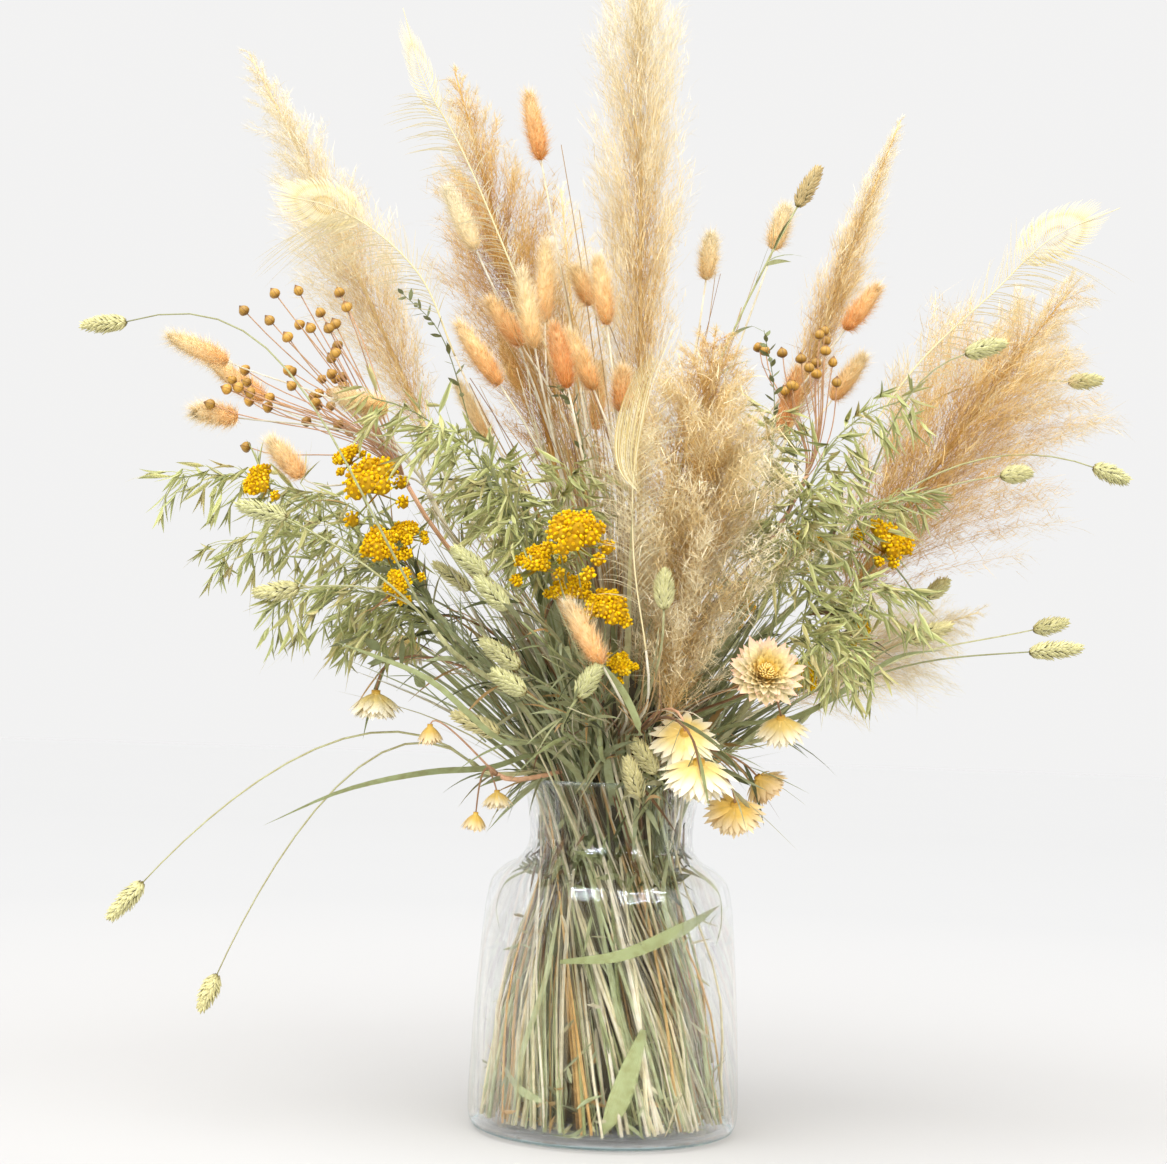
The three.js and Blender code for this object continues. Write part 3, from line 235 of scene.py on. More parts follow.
# A flax capsule's length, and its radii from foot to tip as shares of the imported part's
CAPSULE_LENGTH = 8.2
CAPSULE_PROFILE = [0.35, 0.85, 1.03, 1.06, 0.98, 0.74, 0.36, 0.06]
BRANCHLET_STEPS = 8  # straight stretches of a plume's branchlet
LONG_HAIRS = 12  # to a branchlet, besides the short ones
CURL_BARBS = 34
# Straws in the vase: how many, thinnest, thickest, flatness, and odds of each of the tones
STRAW_TONES = [0.0, 0.08, 0.15, 0.22, 0.3, 0.42, 0.5, 0.6, 0.72, 0.82, 0.92]
STRAWS = [
    (110, 0.5, 1.2, 0.8, [0.14, 0.14, 0.1, 0.08, 0.08, 0.12, 0.1, 0.08, 0.1, 0.02, 0.04]),
    (220, 1.4, 2.7, 0.65, [0.14, 0.08, 0.05, 0.03, 0.08, 0.18, 0.17, 0.1, 0.11, 0.01, 0.05]),
]
# Darker tones for the straws deep in the bunch: painted shade
SHADED_STRAW_TONES = [0.15, 0.72, 0.91, 0.96]
STRAW_FOOT = (8, 88)  # height and radius of the widest straws' feet
STRAW_NECK = (205, 53)
# Scraps in the vase: how many, heights, radii, half width, most brightness, tones
SCRAPS = [
    (230, 172, 212, 46, 55, 2.9, 0.6, (0.12, 0.15, 0.2, 0.91, 1, 1, 1)),
    (220, 9, 46, 60, 87, 1.8, 1, (0.0, 0.05, 0.3, 0.42, 0.72)),
    (110, 40, 160, 56, 76, 1.6, 1, (0.0, 0.1, 0.3, 0.5)),
]
# Left and right, back and foot of the room that grass leaves keep free, so that the front plume shows
OPEN_ROOM = ((8, 108), -35, 290)
# Grass leaves of the bunch: how many, lengths, how dark, rows of points
GRASS = [(360, (90, 270), 0.0, 10), (480, (35, 130), 0.5, 7)]
GRASS_TONES = [0.0, 0.06, 0.13, 0.18, 0.3, 0.5, 0.72, 1.0, 0.22]
STALK_LEAF_TONES = [0.0, 0.08, 0.15, 0.2, 0.3, 0.72, 0.91, 1.0]
STALK_LEAF_ODDS = [0.18, 0.18, 0.18, 0.12, 0.1, 0.08, 0.06, 0.1]
LEAFY_STALKS = ("oats", "everlasting", "canary", "flax", "strawflower")
LEAFY_SPRAYS = ("oats", "everlasting")
# Thin companions beside the stalks: how many to each, and how many more golden ones beside the tall stalks
COMPANIONS = 3
GOLDEN_COMPANIONS = 8
GOLDEN_TONES = [0.45, 0.7, 0.72, 0.73, 0.88]
TALL_STALKS = ("bunny", "pampas", "feather")
# Heights and radii inside the vase: its wall, the front of its wall, and the dark core that is painted shade
# deep in the bunch
INNER_WALL = [
    (0, 84), (12, 89.5), (60, 90), (150, 84), (170, 81),
    (182, 71), (198, 55.5), (213, 55), (245, 59), (400, 200),
]
FRONT_WALL = [(12, 85), (60, 86), (150, 81), (175, 73), (198, 51.5), (240, 52)]
SHADE_CORE = [(12, 60), (70, 52), (130, 46), (180, 41), (212, 38), (250, 36), (300, 30), (322, 8)]
HAIR_REACH = 18  # the furthest that a hair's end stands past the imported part's box
# Windows that light the vase alone: name, place across, breadth
WINDOWS = [("left_window", -0.6, 0.9), ("right_window", 0.85, 1.5)]
WINDOW_HEIGHT = 0.55
WINDOW_POWER = 285  # for each metre of breadth
# Suns: name, way, spread in degrees, strength
SUNS = [("key", (0.3, 0.6, -1.1), 75, 2.5), ("fill", (-0.5, 0.9, -0.6), 90, 1.5)]

# Points and curves

UP = np.array([0.0, 0.0, 1.0])
FRONT = np.array([0.0, -1.0, 0.0])
TURN = 2 * math.pi
GOLDEN_ANGLE = 2.39996


def unit(v):
    return v / np.maximum(np.linalg.norm(v, axis=-1, keepdims=True), 1e-9)


def mix(a, b, t):
    return a + (b - a) * t


def shares(count):
    """Even steps from 0 to 1."""
    return np.linspace(0, 1, count)


def square_to(axis):
    """A unit vector square to each axis."""
    axis = np.asarray(axis, float)
    helper = np.where(np.abs(axis[..., 2:3]) < 0.8, UP, np.array([1.0, 0, 0]))
    return unit(np.cross(axis, helper))


def around(axis, angles):
    """Unit vectors square to one axis, or to each of many, at angles round it."""
    side = square_to(axis)
    other = np.cross(axis, side)
    return side * np.cos(angles)[:, None] + other * np.sin(angles)[:, None]


def outward_at(angles):
    """Level unit vectors at angles round the vase's axis."""
    return np.stack([np.cos(angles), np.sin(angles), 0 * angles], -1)


def camera_axes():
    """The camera's ahead, right and top directions."""
    pitch, roll = math.radians(VIEW["pitch"]), math.radians(VIEW["roll"])
    ahead = np.array([0, math.cos(pitch), math.sin(pitch)])
    level = np.array([1.0, 0, 0])
    above = np.array([0, -math.sin(pitch), math.cos(pitch)])
    right = level * math.cos(roll) + above * math.sin(roll)
    return ahead, right, above * math.cos(roll) - level * math.sin(roll)


def seen(place, depth):
    """The point of the photograph's pixel that lies at this depth behind the vase's axis."""
    ahead, right, top = camera_axes()
    u, v = place
    sideways, upward = (u - VIEW["across"] / 2), (VIEW["down"] / 2 - v)
    ray = ahead + right * sideways / VIEW["focal"] + top * upward / VIEW["focal"]
    eye = np.array(VIEW["eye"], float)
    return eye + ray * (depth - eye[1]) / ray[1]


def bezier(control, t):
    """Points of a Bezier curve of any degree at the shares t."""
    t = np.asarray(t, float)[..., None]
    points = [np.asarray(point, float) + 0 * t for point in control]
    while len(points) > 1:
        points = [mix(a, b, t) for a, b in zip(points, points[1:])]
    return points[0]


def bezier_way(control, t):
    """The curve's directions at the shares t."""
    step, t = 1e-4, np.asarray(t)
    return unit(bezier(control, np.minimum(t + step, 1)) - bezier(control, np.maximum(t - step, 0)))


def spline(points, t):
    """Points of a centripetal Catmull-Rom spline through points, at the shares t."""
    points = np.asarray(points, float)
    padded = np.vstack([2 * points[0] - points[1], points, 2 * points[-1] - points[-2]])
    at = np.asarray(t, float) * (len(points) - 1)
    i = np.clip(np.floor(at).astype(int), 0, len(points) - 2)
    w = (at - i)[..., None]
    x0, x1, x2, x3 = (padded[i + k] for k in range(4))
    gaps = ((x0, x1), (x1, x2), (x2, x3))
    d0, d1, d2 = (np.linalg.norm(b - a, axis=-1, keepdims=True) ** 0.5 for a, b in gaps)
    t1 = ((x1 - x0) / d0 - (x2 - x0) / (d0 + d1) + (x2 - x1) / d1) * d1
    t2 = ((x2 - x1) / d1 - (x3 - x1) / (d1 + d2) + (x3 - x2) / d2) * d1
    return x1 + t1 * w + (-3 * x1 + 3 * x2 - 2 * t1 - t2) * w**2 + (2 * x1 - 2 * x2 + t1 + t2) * w**3


def seeded_draws(seed):
    """The same run of draws from 0 to 1 as the part's own source makes."""
    word = 0xFFFFFFFF
    state = seed & word
    while True:
        state = (state + 0x6D2B79F5) & word
        t = (state ^ (state >> 15)) * (state | 1) & word
        t ^= (t + ((t ^ (t >> 7)) * (t | 61) & word)) & word
        yield ((t ^ (t >> 14)) & word) / 4294967296


# Clear ways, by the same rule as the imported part's own stalks and branches


class Room:
    """The capsules that the pieces take up, which later ways bend round."""

    def __init__(self):
        self.nodes, self.starts, self.ends, self.radii = [], [], [], []

    def take(self, node, points, radius):
        for start, end in zip(points, points[1:]):
            self.nodes.append(node)
            self.starts.append(start)
            self.ends.append(end)
            self.radii.append(radius)

    def others(self, node):
        keep = np.array([name != node for name in self.nodes])
        return np.array(self.starts)[keep], np.array(self.ends)[keep], np.array(self.radii)[keep]

    @staticmethod
    def clear(others, points, radius):
        starts, ends, radii = others
        for p1, q1 in zip(points, points[1:]):
            if np.any(distances(p1, q1, starts, ends) < radii + radius + CLEARANCE):
                return False
        return True


def distances(p1, q1, starts, ends):
    """Distances from one straight stretch to many."""
    d1, d2, r = q1 - p1, ends - starts, p1 - starts
    a, e, f = d1 @ d1, (d2 * d2).sum(1), (d2 * r).sum(1)
    b, c = d2 @ d1, r @ d1
    spread = a * e - b * b
    s = np.where(spread > 1e-9, np.clip((b * f - c * e) / np.where(spread > 1e-9, spread, 1), 0, 1), 0)
    t = (b * s + f) / np.maximum(e, 1e-9)
    outside = (t < 0) | (t > 1)
    t = np.clip(t, 0, 1)
    s = np.where(outside, np.clip((b * t - c) / max(a, 1e-9), 0, 1), s)
    return np.linalg.norm(p1 + d1 * s[:, None] - starts - d2 * t[:, None], axis=1)


def steps_for(control):
    """More steps for a way that bends more."""
    first, middle, last = (bezier_way(control, t) for t in (0, 0.5, 1))
    turn = math.acos(min(1, first @ middle)) + math.acos(min(1, middle @ last))
    return 2 + min(3, int(turn / 0.7))


def clear_way(room, node, start, start_way, end, end_way, radius):
    """The control points of the first bent way between two ends that stays clear of the other nodes."""
    reach = np.linalg.norm(end - start)
    along = unit(end - start)
    side = square_to(along)
    other = np.cross(along, side)
    others = room.others(node)
    eighths = [k * math.pi / 4 for k in range(8)]
    pushes = [(size * math.cos(turn), size * math.sin(turn)) for size in range(6, 61, 6) for turn in eighths]
    for across, aside in [(0, 0), *pushes]:
        push = side * across + other * aside
        second, third = start + start_way * reach * 0.4 + push * 0.6, end - end_way * reach * 0.35 + push
        control = [start, second, third, end]
        points = bezier(control, shares(steps_for(control) + 1))
        if room.clear(others, points, radius):
            room.take(node, points, radius)
            return control
    raise RuntimeError(f"{node} has no clear way")


def spindle(tip, foot, depth, tone):
    """A head between the pixels of its tip and its foot."""
    start, end = seen(foot, depth), seen(tip, depth)
    return dict(foot=start, tip=end, axis=unit(end - start), tone=tone)


def take_spindle(room, node, head, radius, space):
    low = head["foot"] + head["axis"] * (radius * 1.1 + space if space else radius * 0.4)
    room.take(node, [low, head["tip"] - head["axis"] * radius * 0.5], radius * 1.1)


def bloom(at, depth, faces, radius, opened, tone):
    axis = unit(np.array(faces, float))
    return dict(foot=seen(at, depth), axis=axis, radius=radius, open=opened, tone=tone)


def take_bloom(room, node, head):
    """Takes up a flat disc of room, as three capsules that cross."""
    wide = head["radius"] * mix(0.62, 1.02, head["open"])
    half = head["radius"] * mix(0.5, 0.3, head["open"])
    middle = head["foot"] + head["axis"] * (half + SEAT_ROOM)
    for turned in around(head["axis"], np.arange(3) * math.pi / 3):
        room.take(node, [middle - turned * (wide - half), middle + turned * (wide - half)], half)


def cluster(at, depth, radius, fork):
    """An everlasting's head, which leans from its fork to the front or to the back."""
    centre = seen(at, depth)
    axis = unit(unit(centre - fork) + FRONT * (0.5 if depth < 0 else -0.5))
    return dict(foot=centre - axis * radius * 0.8, tip=centre + axis * radius * 0.5, axis=axis, radius=radius)


def panicle(at, depth, fork):
    """The end of an oat's branch, which nods."""
    end = seen(at, depth)
    out = unit(end - fork)
    return dict(foot=end, tip=end, axis=unit(out - UP * 0.7), out=out)


def plume_width(t):
    """A plume's width along its line, as a share of its spread."""
    return np.sin(np.pi * mix(0.03, 1, np.asarray(t, float)) ** 0.8).clip(0) ** 0.75


def plume_line(tip, foot, tip_depth, foot_depth):
    start, end = seen(foot, foot_depth), seen(tip, tip_depth)
    lean = end - start
    return [start, start + lean * 0.5 + UP * np.linalg.norm(lean) * 0.05, end]


def root_for(point):
    """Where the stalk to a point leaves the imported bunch."""
    flat = np.array([point[0], point[1], 0.0])
    lean = math.atan2(np.linalg.norm(flat), max(20, point[2] - 130)) / math.radians(80)
    return unit(flat) * min(1, lean) * 33 + UP * EXIT


class Layout:
    """Every head's place and every stalk's and branch's way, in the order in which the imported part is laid."""

    def __init__(self):
        self.room, self.heads, self.seats = Room(), {"stems": []}, []
        self.take_glass()
        for k, row in enumerate(BUNNY_TAILS):
            name = f"bunny_tail_{k + 1}"
            self.place_spindle(name, spindle(*row), "bunny", BUNNY_RADIUS, SEAT_ROOM, SEAT_GAP)
        for k, row in enumerate(STRAWFLOWERS):
            self.place_strawflower(f"strawflower_{k + 1}", bloom(*row))
        for row in CANARY_ON_STEMS:
            self.place_spindle("stems", spindle(*row), "canary", CANARY_RADIUS, 0, -SUNK)
        for name, spray in SPRAYS.items():
            self.place_spray(name, spray)
        for k, row in enumerate(PLUMES):
            self.place_plume(f"pampas_{k + 1}", *row[:5])
        for k, row in enumerate(FEATHERS):
            self.place_feather(f"feather_{k + 1}", *row)
        self.stalks = [self.stalk_to(row) for row in self.seats]
        self.leaves = [self.long_leaf(*row) for row in LEAVES]
        self.branches = {name: self.branches_of(name, spray) for name, spray in SPRAYS.items()}

    def take_glass(self):
        """Takes up the vase's rim and neck as short stretches round them, and the bunch above the neck."""
        for k in range(24):
            turns = (k * math.pi / 12, (k + 1) * math.pi / 12)
            for radius, height, thick in RINGS:
                ring = [np.array([math.cos(a), math.sin(a), 0]) * radius + UP * height for a in turns]
                self.room.take("vase", ring, thick)
        for (low, low_radius), (high, high_radius) in zip(ABOVE_NECK, ABOVE_NECK[1:]):
            self.room.take("stems", [UP * low, UP * high], max(low_radius, high_radius) * (1 + RIB))

    def seat(self, foot, axis, kind, thick=STALK["thick"], thin=STALK["thin"], gap=SEAT_GAP):
        """Marks where a stalk ends, a gap below the head that it carries."""
        self.seats.append(dict(end=foot - axis * gap, way=axis, kind=kind, thick=thick, thin=thin))

    def place_spindle(self, name, head, kind, radius, space, gap):
        take_spindle(self.room, name, head, radius, space)
        self.heads.setdefault(name, []).append(head)
        self.seat(head["foot"], head["axis"], kind, gap=gap)

    def place_strawflower(self, name, head):
        take_bloom(self.room, name, head)
        self.heads[name] = [head]
        self.seat(head["foot"], head["axis"], "strawflower")

    def place_spray(self, name, spray):
        root = seen(spray["fork"], spray["depth"])
        spray["root"], spray["way"] = root, unit(root - UP * 170)
        rows = spray.get("heads", [])
        self.heads[name] = [self.place_on_spray(name, spray["kind"], row, root) for row in rows]
        self.room.take(name, [root + spray["way"] * rise for rise in (5, 8)], FORK_STALK)
        self.seat(root, spray["way"], spray["kind"], FORK_STALK, FORK_STALK)

    def place_on_spray(self, name, kind, row, root):
        if kind in ("bunny", "canary"):
            head = spindle(*row)
            take_spindle(self.room, name, head, BUNNY_RADIUS if kind == "bunny" else CANARY_RADIUS, 0)
        elif kind == "everlasting":
            head = cluster(*row, root)
            take_spindle(self.room, name, head, head["radius"] * 0.9, 0)
        elif kind == "strawflower":
            head = bloom(*row)
            take_bloom(self.room, name, head)
        else:
            head = panicle(*row, root)
        return head

    def place_plume(self, name, tip, foot, tip_depth, foot_depth, spread):
        line = plume_line(tip, foot, tip_depth, foot_depth)
        points = bezier(line, shares(7))
        for i in range(6):
            wide = float(np.max(plume_width([i / 6, (i + 1) / 6])))
            start = bezier(line, 0.11) if i == 0 else points[i]
            self.room.take(name, [start, points[i + 1]], spread * PLUME_CORE * wide * 1.1)
        self.seat(line[0], bezier_way(line, 0), "pampas", PLUME_STALK, PLUME_STALK * 0.7)

    def place_feather(self, name, path, depth, eye, full):
        long, wide = eye
        shaft = [seen(place, depth) for place in path]
        fine = spline(shaft, shares(201))
        length = np.linalg.norm(np.diff(fine, axis=0), axis=1).sum()
        self.room.take(name, spline(shaft, [0.04, *np.arange(1, 9) / 8]), FEATHER_SHAFT)
        reach = [EYE_AT - long / length * 0.5, min(1, EYE_AT + long / length * 0.5)]
        self.room.take(name, spline(shaft, reach), wide)
        self.heads[name] = [dict(shaft=shaft, length=length, eye=eye, full=full)]
        self.seat(shaft[0], unit(fine[1] - fine[0]), "feather")

    def stalk_to(self, row):
        root = root_for(row["end"])
        leave = unit(np.array([root[0], root[1], 100.0]))
        control = clear_way(self.room, "stems", root, leave, row["end"], row["way"], row["thick"])
        return dict(row, control=control)

    def long_leaf(self, path, depth, width):
        points = [seen(place, depth) for place in path]
        root = root_for(points[0])
        ways = [root, mix(root, points[0], 0.5) + UP * 18, *points]
        self.room.take("stems", spline(ways, shares(7)), width * 0.8)
        return dict(points=ways, width=width)

    def branches_of(self, name, spray):
        if spray["kind"] == "flax":
            return self.place_flax(name, spray)
        way = spray["way"]
        start = spray["root"] + way * 4
        sunk = 0 if spray["kind"] == "oats" else SUNK
        radius = BRANCH[spray["kind"]]
        ends = [(head["foot"] + head["axis"] * sunk, head["axis"]) for head in self.heads[name]]
        return [clear_way(self.room, name, start, way, end, axis, radius) for end, axis in ends]

    def place_flax(self, name, spray):
        """The ways to a spray's capsules, each at the first drawn place that is clear."""
        drawn = seeded_draws(spray["fork"][0] + 3)
        start = spray["root"] + spray["way"] * 4
        feet, ways = [], []
        for _ in range(spray["balls"] * 8):
            if len(ways) == spray["balls"]:
                break
            angle = next(drawn) * TURN
            share = math.sqrt(next(drawn))
            deep = (next(drawn) - 0.5) * 2 * spray["spread"][2]
            across = spray["middle"][0] + math.cos(angle) * share * spray["spread"][0]
            down = spray["middle"][1] + math.sin(angle) * share * spray["spread"][1]
            foot = seen((across, down), spray["depth"] + deep)
            axis = unit(foot - spray["root"])
            points = [foot + axis * FLAX_RADIUS, foot + axis * 5]
            crowded = any(np.linalg.norm(placed - foot) < FLAX_RADIUS * 2.6 for placed in feet)
            if crowded or not self.room.clear(self.room.others(name), points, FLAX_RADIUS):
                continue
            ways.append(clear_way(self.room, name, start, spray["way"], foot, axis, BRANCH["flax"]))
            self.room.take(name, points, FLAX_RADIUS)
            feet.append(foot)
        return ways


layout = Layout()

# Meshes: all shapes are gathered as triangles with a look for each point


class Skin:
    """Gathers points in millimetres, triangles, and each point's look: along, chance, tone and part."""

    def __init__(self):
        self.points, self.faces, self.looks, self.count = [], [], [], 0

    def add(self, points, faces, look):
        self.points.append(points.reshape(-1, 3))
        self.faces.append(faces.reshape(-1, 3) + self.count)
        self.looks.append(look.reshape(-1, 4))
        self.count += len(self.points[-1])

    def piece(self, name, material, slot, node):
        """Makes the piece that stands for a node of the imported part."""
        points, faces, looks = (np.concatenate(rows) for rows in (self.points, self.faces, self.looks))
        mesh = bpy.data.meshes.new(name)
        mesh.vertices.add(len(points))
        mesh.vertices.foreach_set("co", (within_reach(points) / 1000).ravel())
        mesh.loops.add(faces.size)
        mesh.loops.foreach_set("vertex_index", faces.ravel().astype(np.int32))
        mesh.polygons.add(len(faces))
        mesh.polygons.foreach_set("loop_start", np.arange(0, faces.size, 3, dtype=np.int32))
        mesh.polygons.foreach_set("use_smooth", np.full(len(faces), True))
        mesh.update(calc_edges=True)
        look = mesh.attributes.new("look", "FLOAT_VECTOR", "POINT")
        look.data.foreach_set("vector", looks[:, :3].ravel())
        part = mesh.attributes.new("part", "FLOAT", "POINT")
        part.data.foreach_set("value", looks[:, 3].copy())
        mesh.materials.append(material)
        thing = bpy.data.objects.new(name, mesh)
        bpy.context.collection.objects.link(thing)
        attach(thing, "root")
        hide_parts(node)
        return thing


def within_reach(points):
    """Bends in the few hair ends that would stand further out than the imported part's box allows."""
    low, high = (np.array(corner) * 1000 for corner in cad_box)
    for past, hand in (((points - high).clip(0), -1), ((low - points).clip(0), 1)):
        points = points + hand * (past - np.tanh(past / HAIR_REACH) * HAIR_REACH)
    return points


def draws(name):
    """The seeded draws of one piece."""
    return np.random.default_rng([ord(letter) for letter in name])


def looks_of(shape, along, chance, tone, part):
    looks = [np.broadcast_to(value, shape) for value in (along, chance, tone, part)]
    return np.stack(looks, -1).astype(float)


def by_point(value, count, rows, wide, ends):
    """A value for all, for each shape or for each of its rows, as one for each point."""
    value = np.asarray(value, float)
    if value.ndim == 0:
        return value
    if value.ndim == 1:
        return value[:, None]
    body = np.repeat(value[:, : rows - (ends == 1)], wide, 1)
    tips = [value[:, -1:]] if ends == 1 else [value[:, :1], value[:, -1:]]
    return np.concatenate([body, *tips], 1)


def quads(a, b, c, d):
    """Two triangles for each square of corners."""
    return np.stack([a, b, c, a, c, d], -1).reshape(-1, 3)


def closed_tube(rows, sides):
    """Triangles of a tube whose rows of points are followed by its middle points at the foot and the tip."""
    grid = np.arange(rows * sides).reshape(rows, sides)
    after = np.roll(grid, -1, 1)
    foot, tip = (np.full(sides, rows * sides + k) for k in (0, 1))
    ends = [np.stack([after[0], grid[0], foot], -1), np.stack([grid[-1], after[-1], tip], -1)]
    return np.concatenate([quads(grid[:-1], after[:-1], after[1:], grid[1:]), *ends])


def body_ways(ways, lines):
    """One way for each line, or for each of its points, spread over all of its points but the last."""
    return np.broadcast_to(ways if ways.ndim == 3 else ways[:, None], lines.shape)[:, :-1, None]


def add_blades(skin, lines, sides, widths, chance=0.5, tone=0.5, part=None, lift=None):
    """Blades that run out to a point: centre lines, ways across, half widths, and a lift for their edges."""
    count, rows = lines.shape[:2]
    across = np.array([-1.0, 1.0] if lift is None else [-1.0, 0.0, 1.0])
    wide = len(across)
    widths = np.broadcast_to(widths, (count, rows))[:, :-1, None]
    body = lines[:, :-1, None] + body_ways(sides, lines) * (widths * across)[..., None]
    if lift is not None:
        body = body + body_ways(lift, lines) * (widths * across**2)[..., None]
    points = np.concatenate([body.reshape(count, -1, 3), lines[:, -1:]], 1)
    grid = np.arange((rows - 1) * wide).reshape(rows - 1, wide)
    last, tip = grid[-1], (rows - 1) * wide
    end = np.stack([last[:-1], last[1:], np.full(wide - 1, tip)], -1)
    faces = np.concatenate([quads(grid[:-1, :-1], grid[:-1, 1:], grid[1:, 1:], grid[1:, :-1]), end])
    faces = faces + np.arange(count)[:, None, None] * (tip + 1)
    along = np.append(np.repeat(np.arange(rows - 1) / (rows - 1), wide), 1)
    if part is None:
        part = np.append(np.tile(across, rows - 1), 0)
    else:
        part = by_point(part, count, rows, wide, 1)
    chance, tone = (by_point(value, count, rows, wide, 1) for value in (chance, tone))
    skin.add(points, faces, looks_of(points.shape[:2], along, chance, tone, part))


def add_tubes(skin, lines, radii, sides=5, chance=0.5, tone=0.5, squeeze=1, part=None):
    """Round or flattened rods with closed ends along centre lines."""
    count, rows = lines.shape[:2]
    ways = unit(np.gradient(lines, axis=1))
    across = np.empty_like(ways)
    across[:, 0] = square_to(ways[:, 0])
    for k in range(1, rows):
        turned = across[:, k - 1]
        across[:, k] = unit(turned - ways[:, k] * (turned * ways[:, k]).sum(-1, keepdims=True))
    other = np.cross(ways, across)
    turn = np.arange(sides) * TURN / sides
    radii = np.asarray(radii, float)
    if radii.ndim < 3:
        radii = np.broadcast_to(radii, (count, rows))[..., None]
    rim = across[:, :, None] * np.cos(turn)[:, None] + other[:, :, None] * (np.sin(turn) * squeeze)[:, None]
    body = lines[:, :, None] + rim * radii[..., None]
    points = np.concatenate([body.reshape(count, -1, 3), lines[:, :1], lines[:, -1:]], 1)
    faces = closed_tube(rows, sides) + np.arange(count)[:, None, None] * (rows * sides + 2)
    along = np.concatenate([np.repeat(np.arange(rows) / (rows - 1), sides), [0, 1]])
    if part is None:
        part = np.concatenate([np.tile(turn / np.pi - 1, rows), [0, 0]])
    else:
        part = by_point(part, count, rows, sides, 2)
    chance, tone = (by_point(value, count, rows, sides, 2) for value in (chance, tone))
    skin.add(points, faces, looks_of(points.shape[:2], along, chance, tone, part))


def ball_of(level):
    """Points and faces of a ball of radius 1."""
    shape = bmesh.new()
    bmesh.ops.create_icosphere(shape, subdivisions=level, radius=1)
    points = np.array([corner.co[:] for corner in shape.verts])
    faces = np.array([[corner.index for corner in face.verts] for face in shape.faces])
    shape.free()
    return points, faces


def add_balls(skin, centres, radii, rough, rng, chance, tone, level):
    """Bumpy balls."""
    points, faces = ball_of(level)
    swell = 1 + rng.normal(0, rough, (len(centres), len(points), 1))
    placed = centres[:, None] + points * radii[:, None, None] * swell
    faces = faces + np.arange(len(centres))[:, None, None] * len(points)
    along = np.broadcast_to((swell[..., 0] - 1) / rough * 0.25 + 0.5, placed.shape[:2])
    skin.add(placed, faces, looks_of(placed.shape[:2], along, chance[:, None], tone[:, None], points[:, 2]))


def arcs(roots, ways, lengths, falls, rows):
    """Lines that leave roots along ways and bend along falls, each a share of the length."""
    s = shares(rows)[:, None]
    lengths = np.asarray(lengths)[:, None, None]
    falls = np.broadcast_to(falls, roots.shape)
    return roots[:, None] + (ways[:, None] * s + falls[:, None] * s**2) * lengths


def taper(rows, least=0.0, power=1.0):
    return 1 - (1 - least) * shares(rows) ** power


def swell_along(rows, low, peak):
    """Half widths of a leaf from its foot to its pointed tip, as shares of the widest."""
    s = shares(rows)
    rise = np.sin(np.pi / 2 * np.clip(s / peak, 0, 1)) * (1 - low) + low
    return np.minimum(rise, np.cos(np.pi / 2 * np.clip((s - peak) / (1 - peak), 0, 1)))


# Materials


def colour(code):
    """A colour's linear values from its six hexadecimal digits."""
    parts = [int(code[k : k + 2], 16) / 255 for k in (0, 2, 4)]
    return [((part + 0.055) / 1.055) ** 2.4 if part > 0.04045 else part / 12.92 for part in parts] + [1]


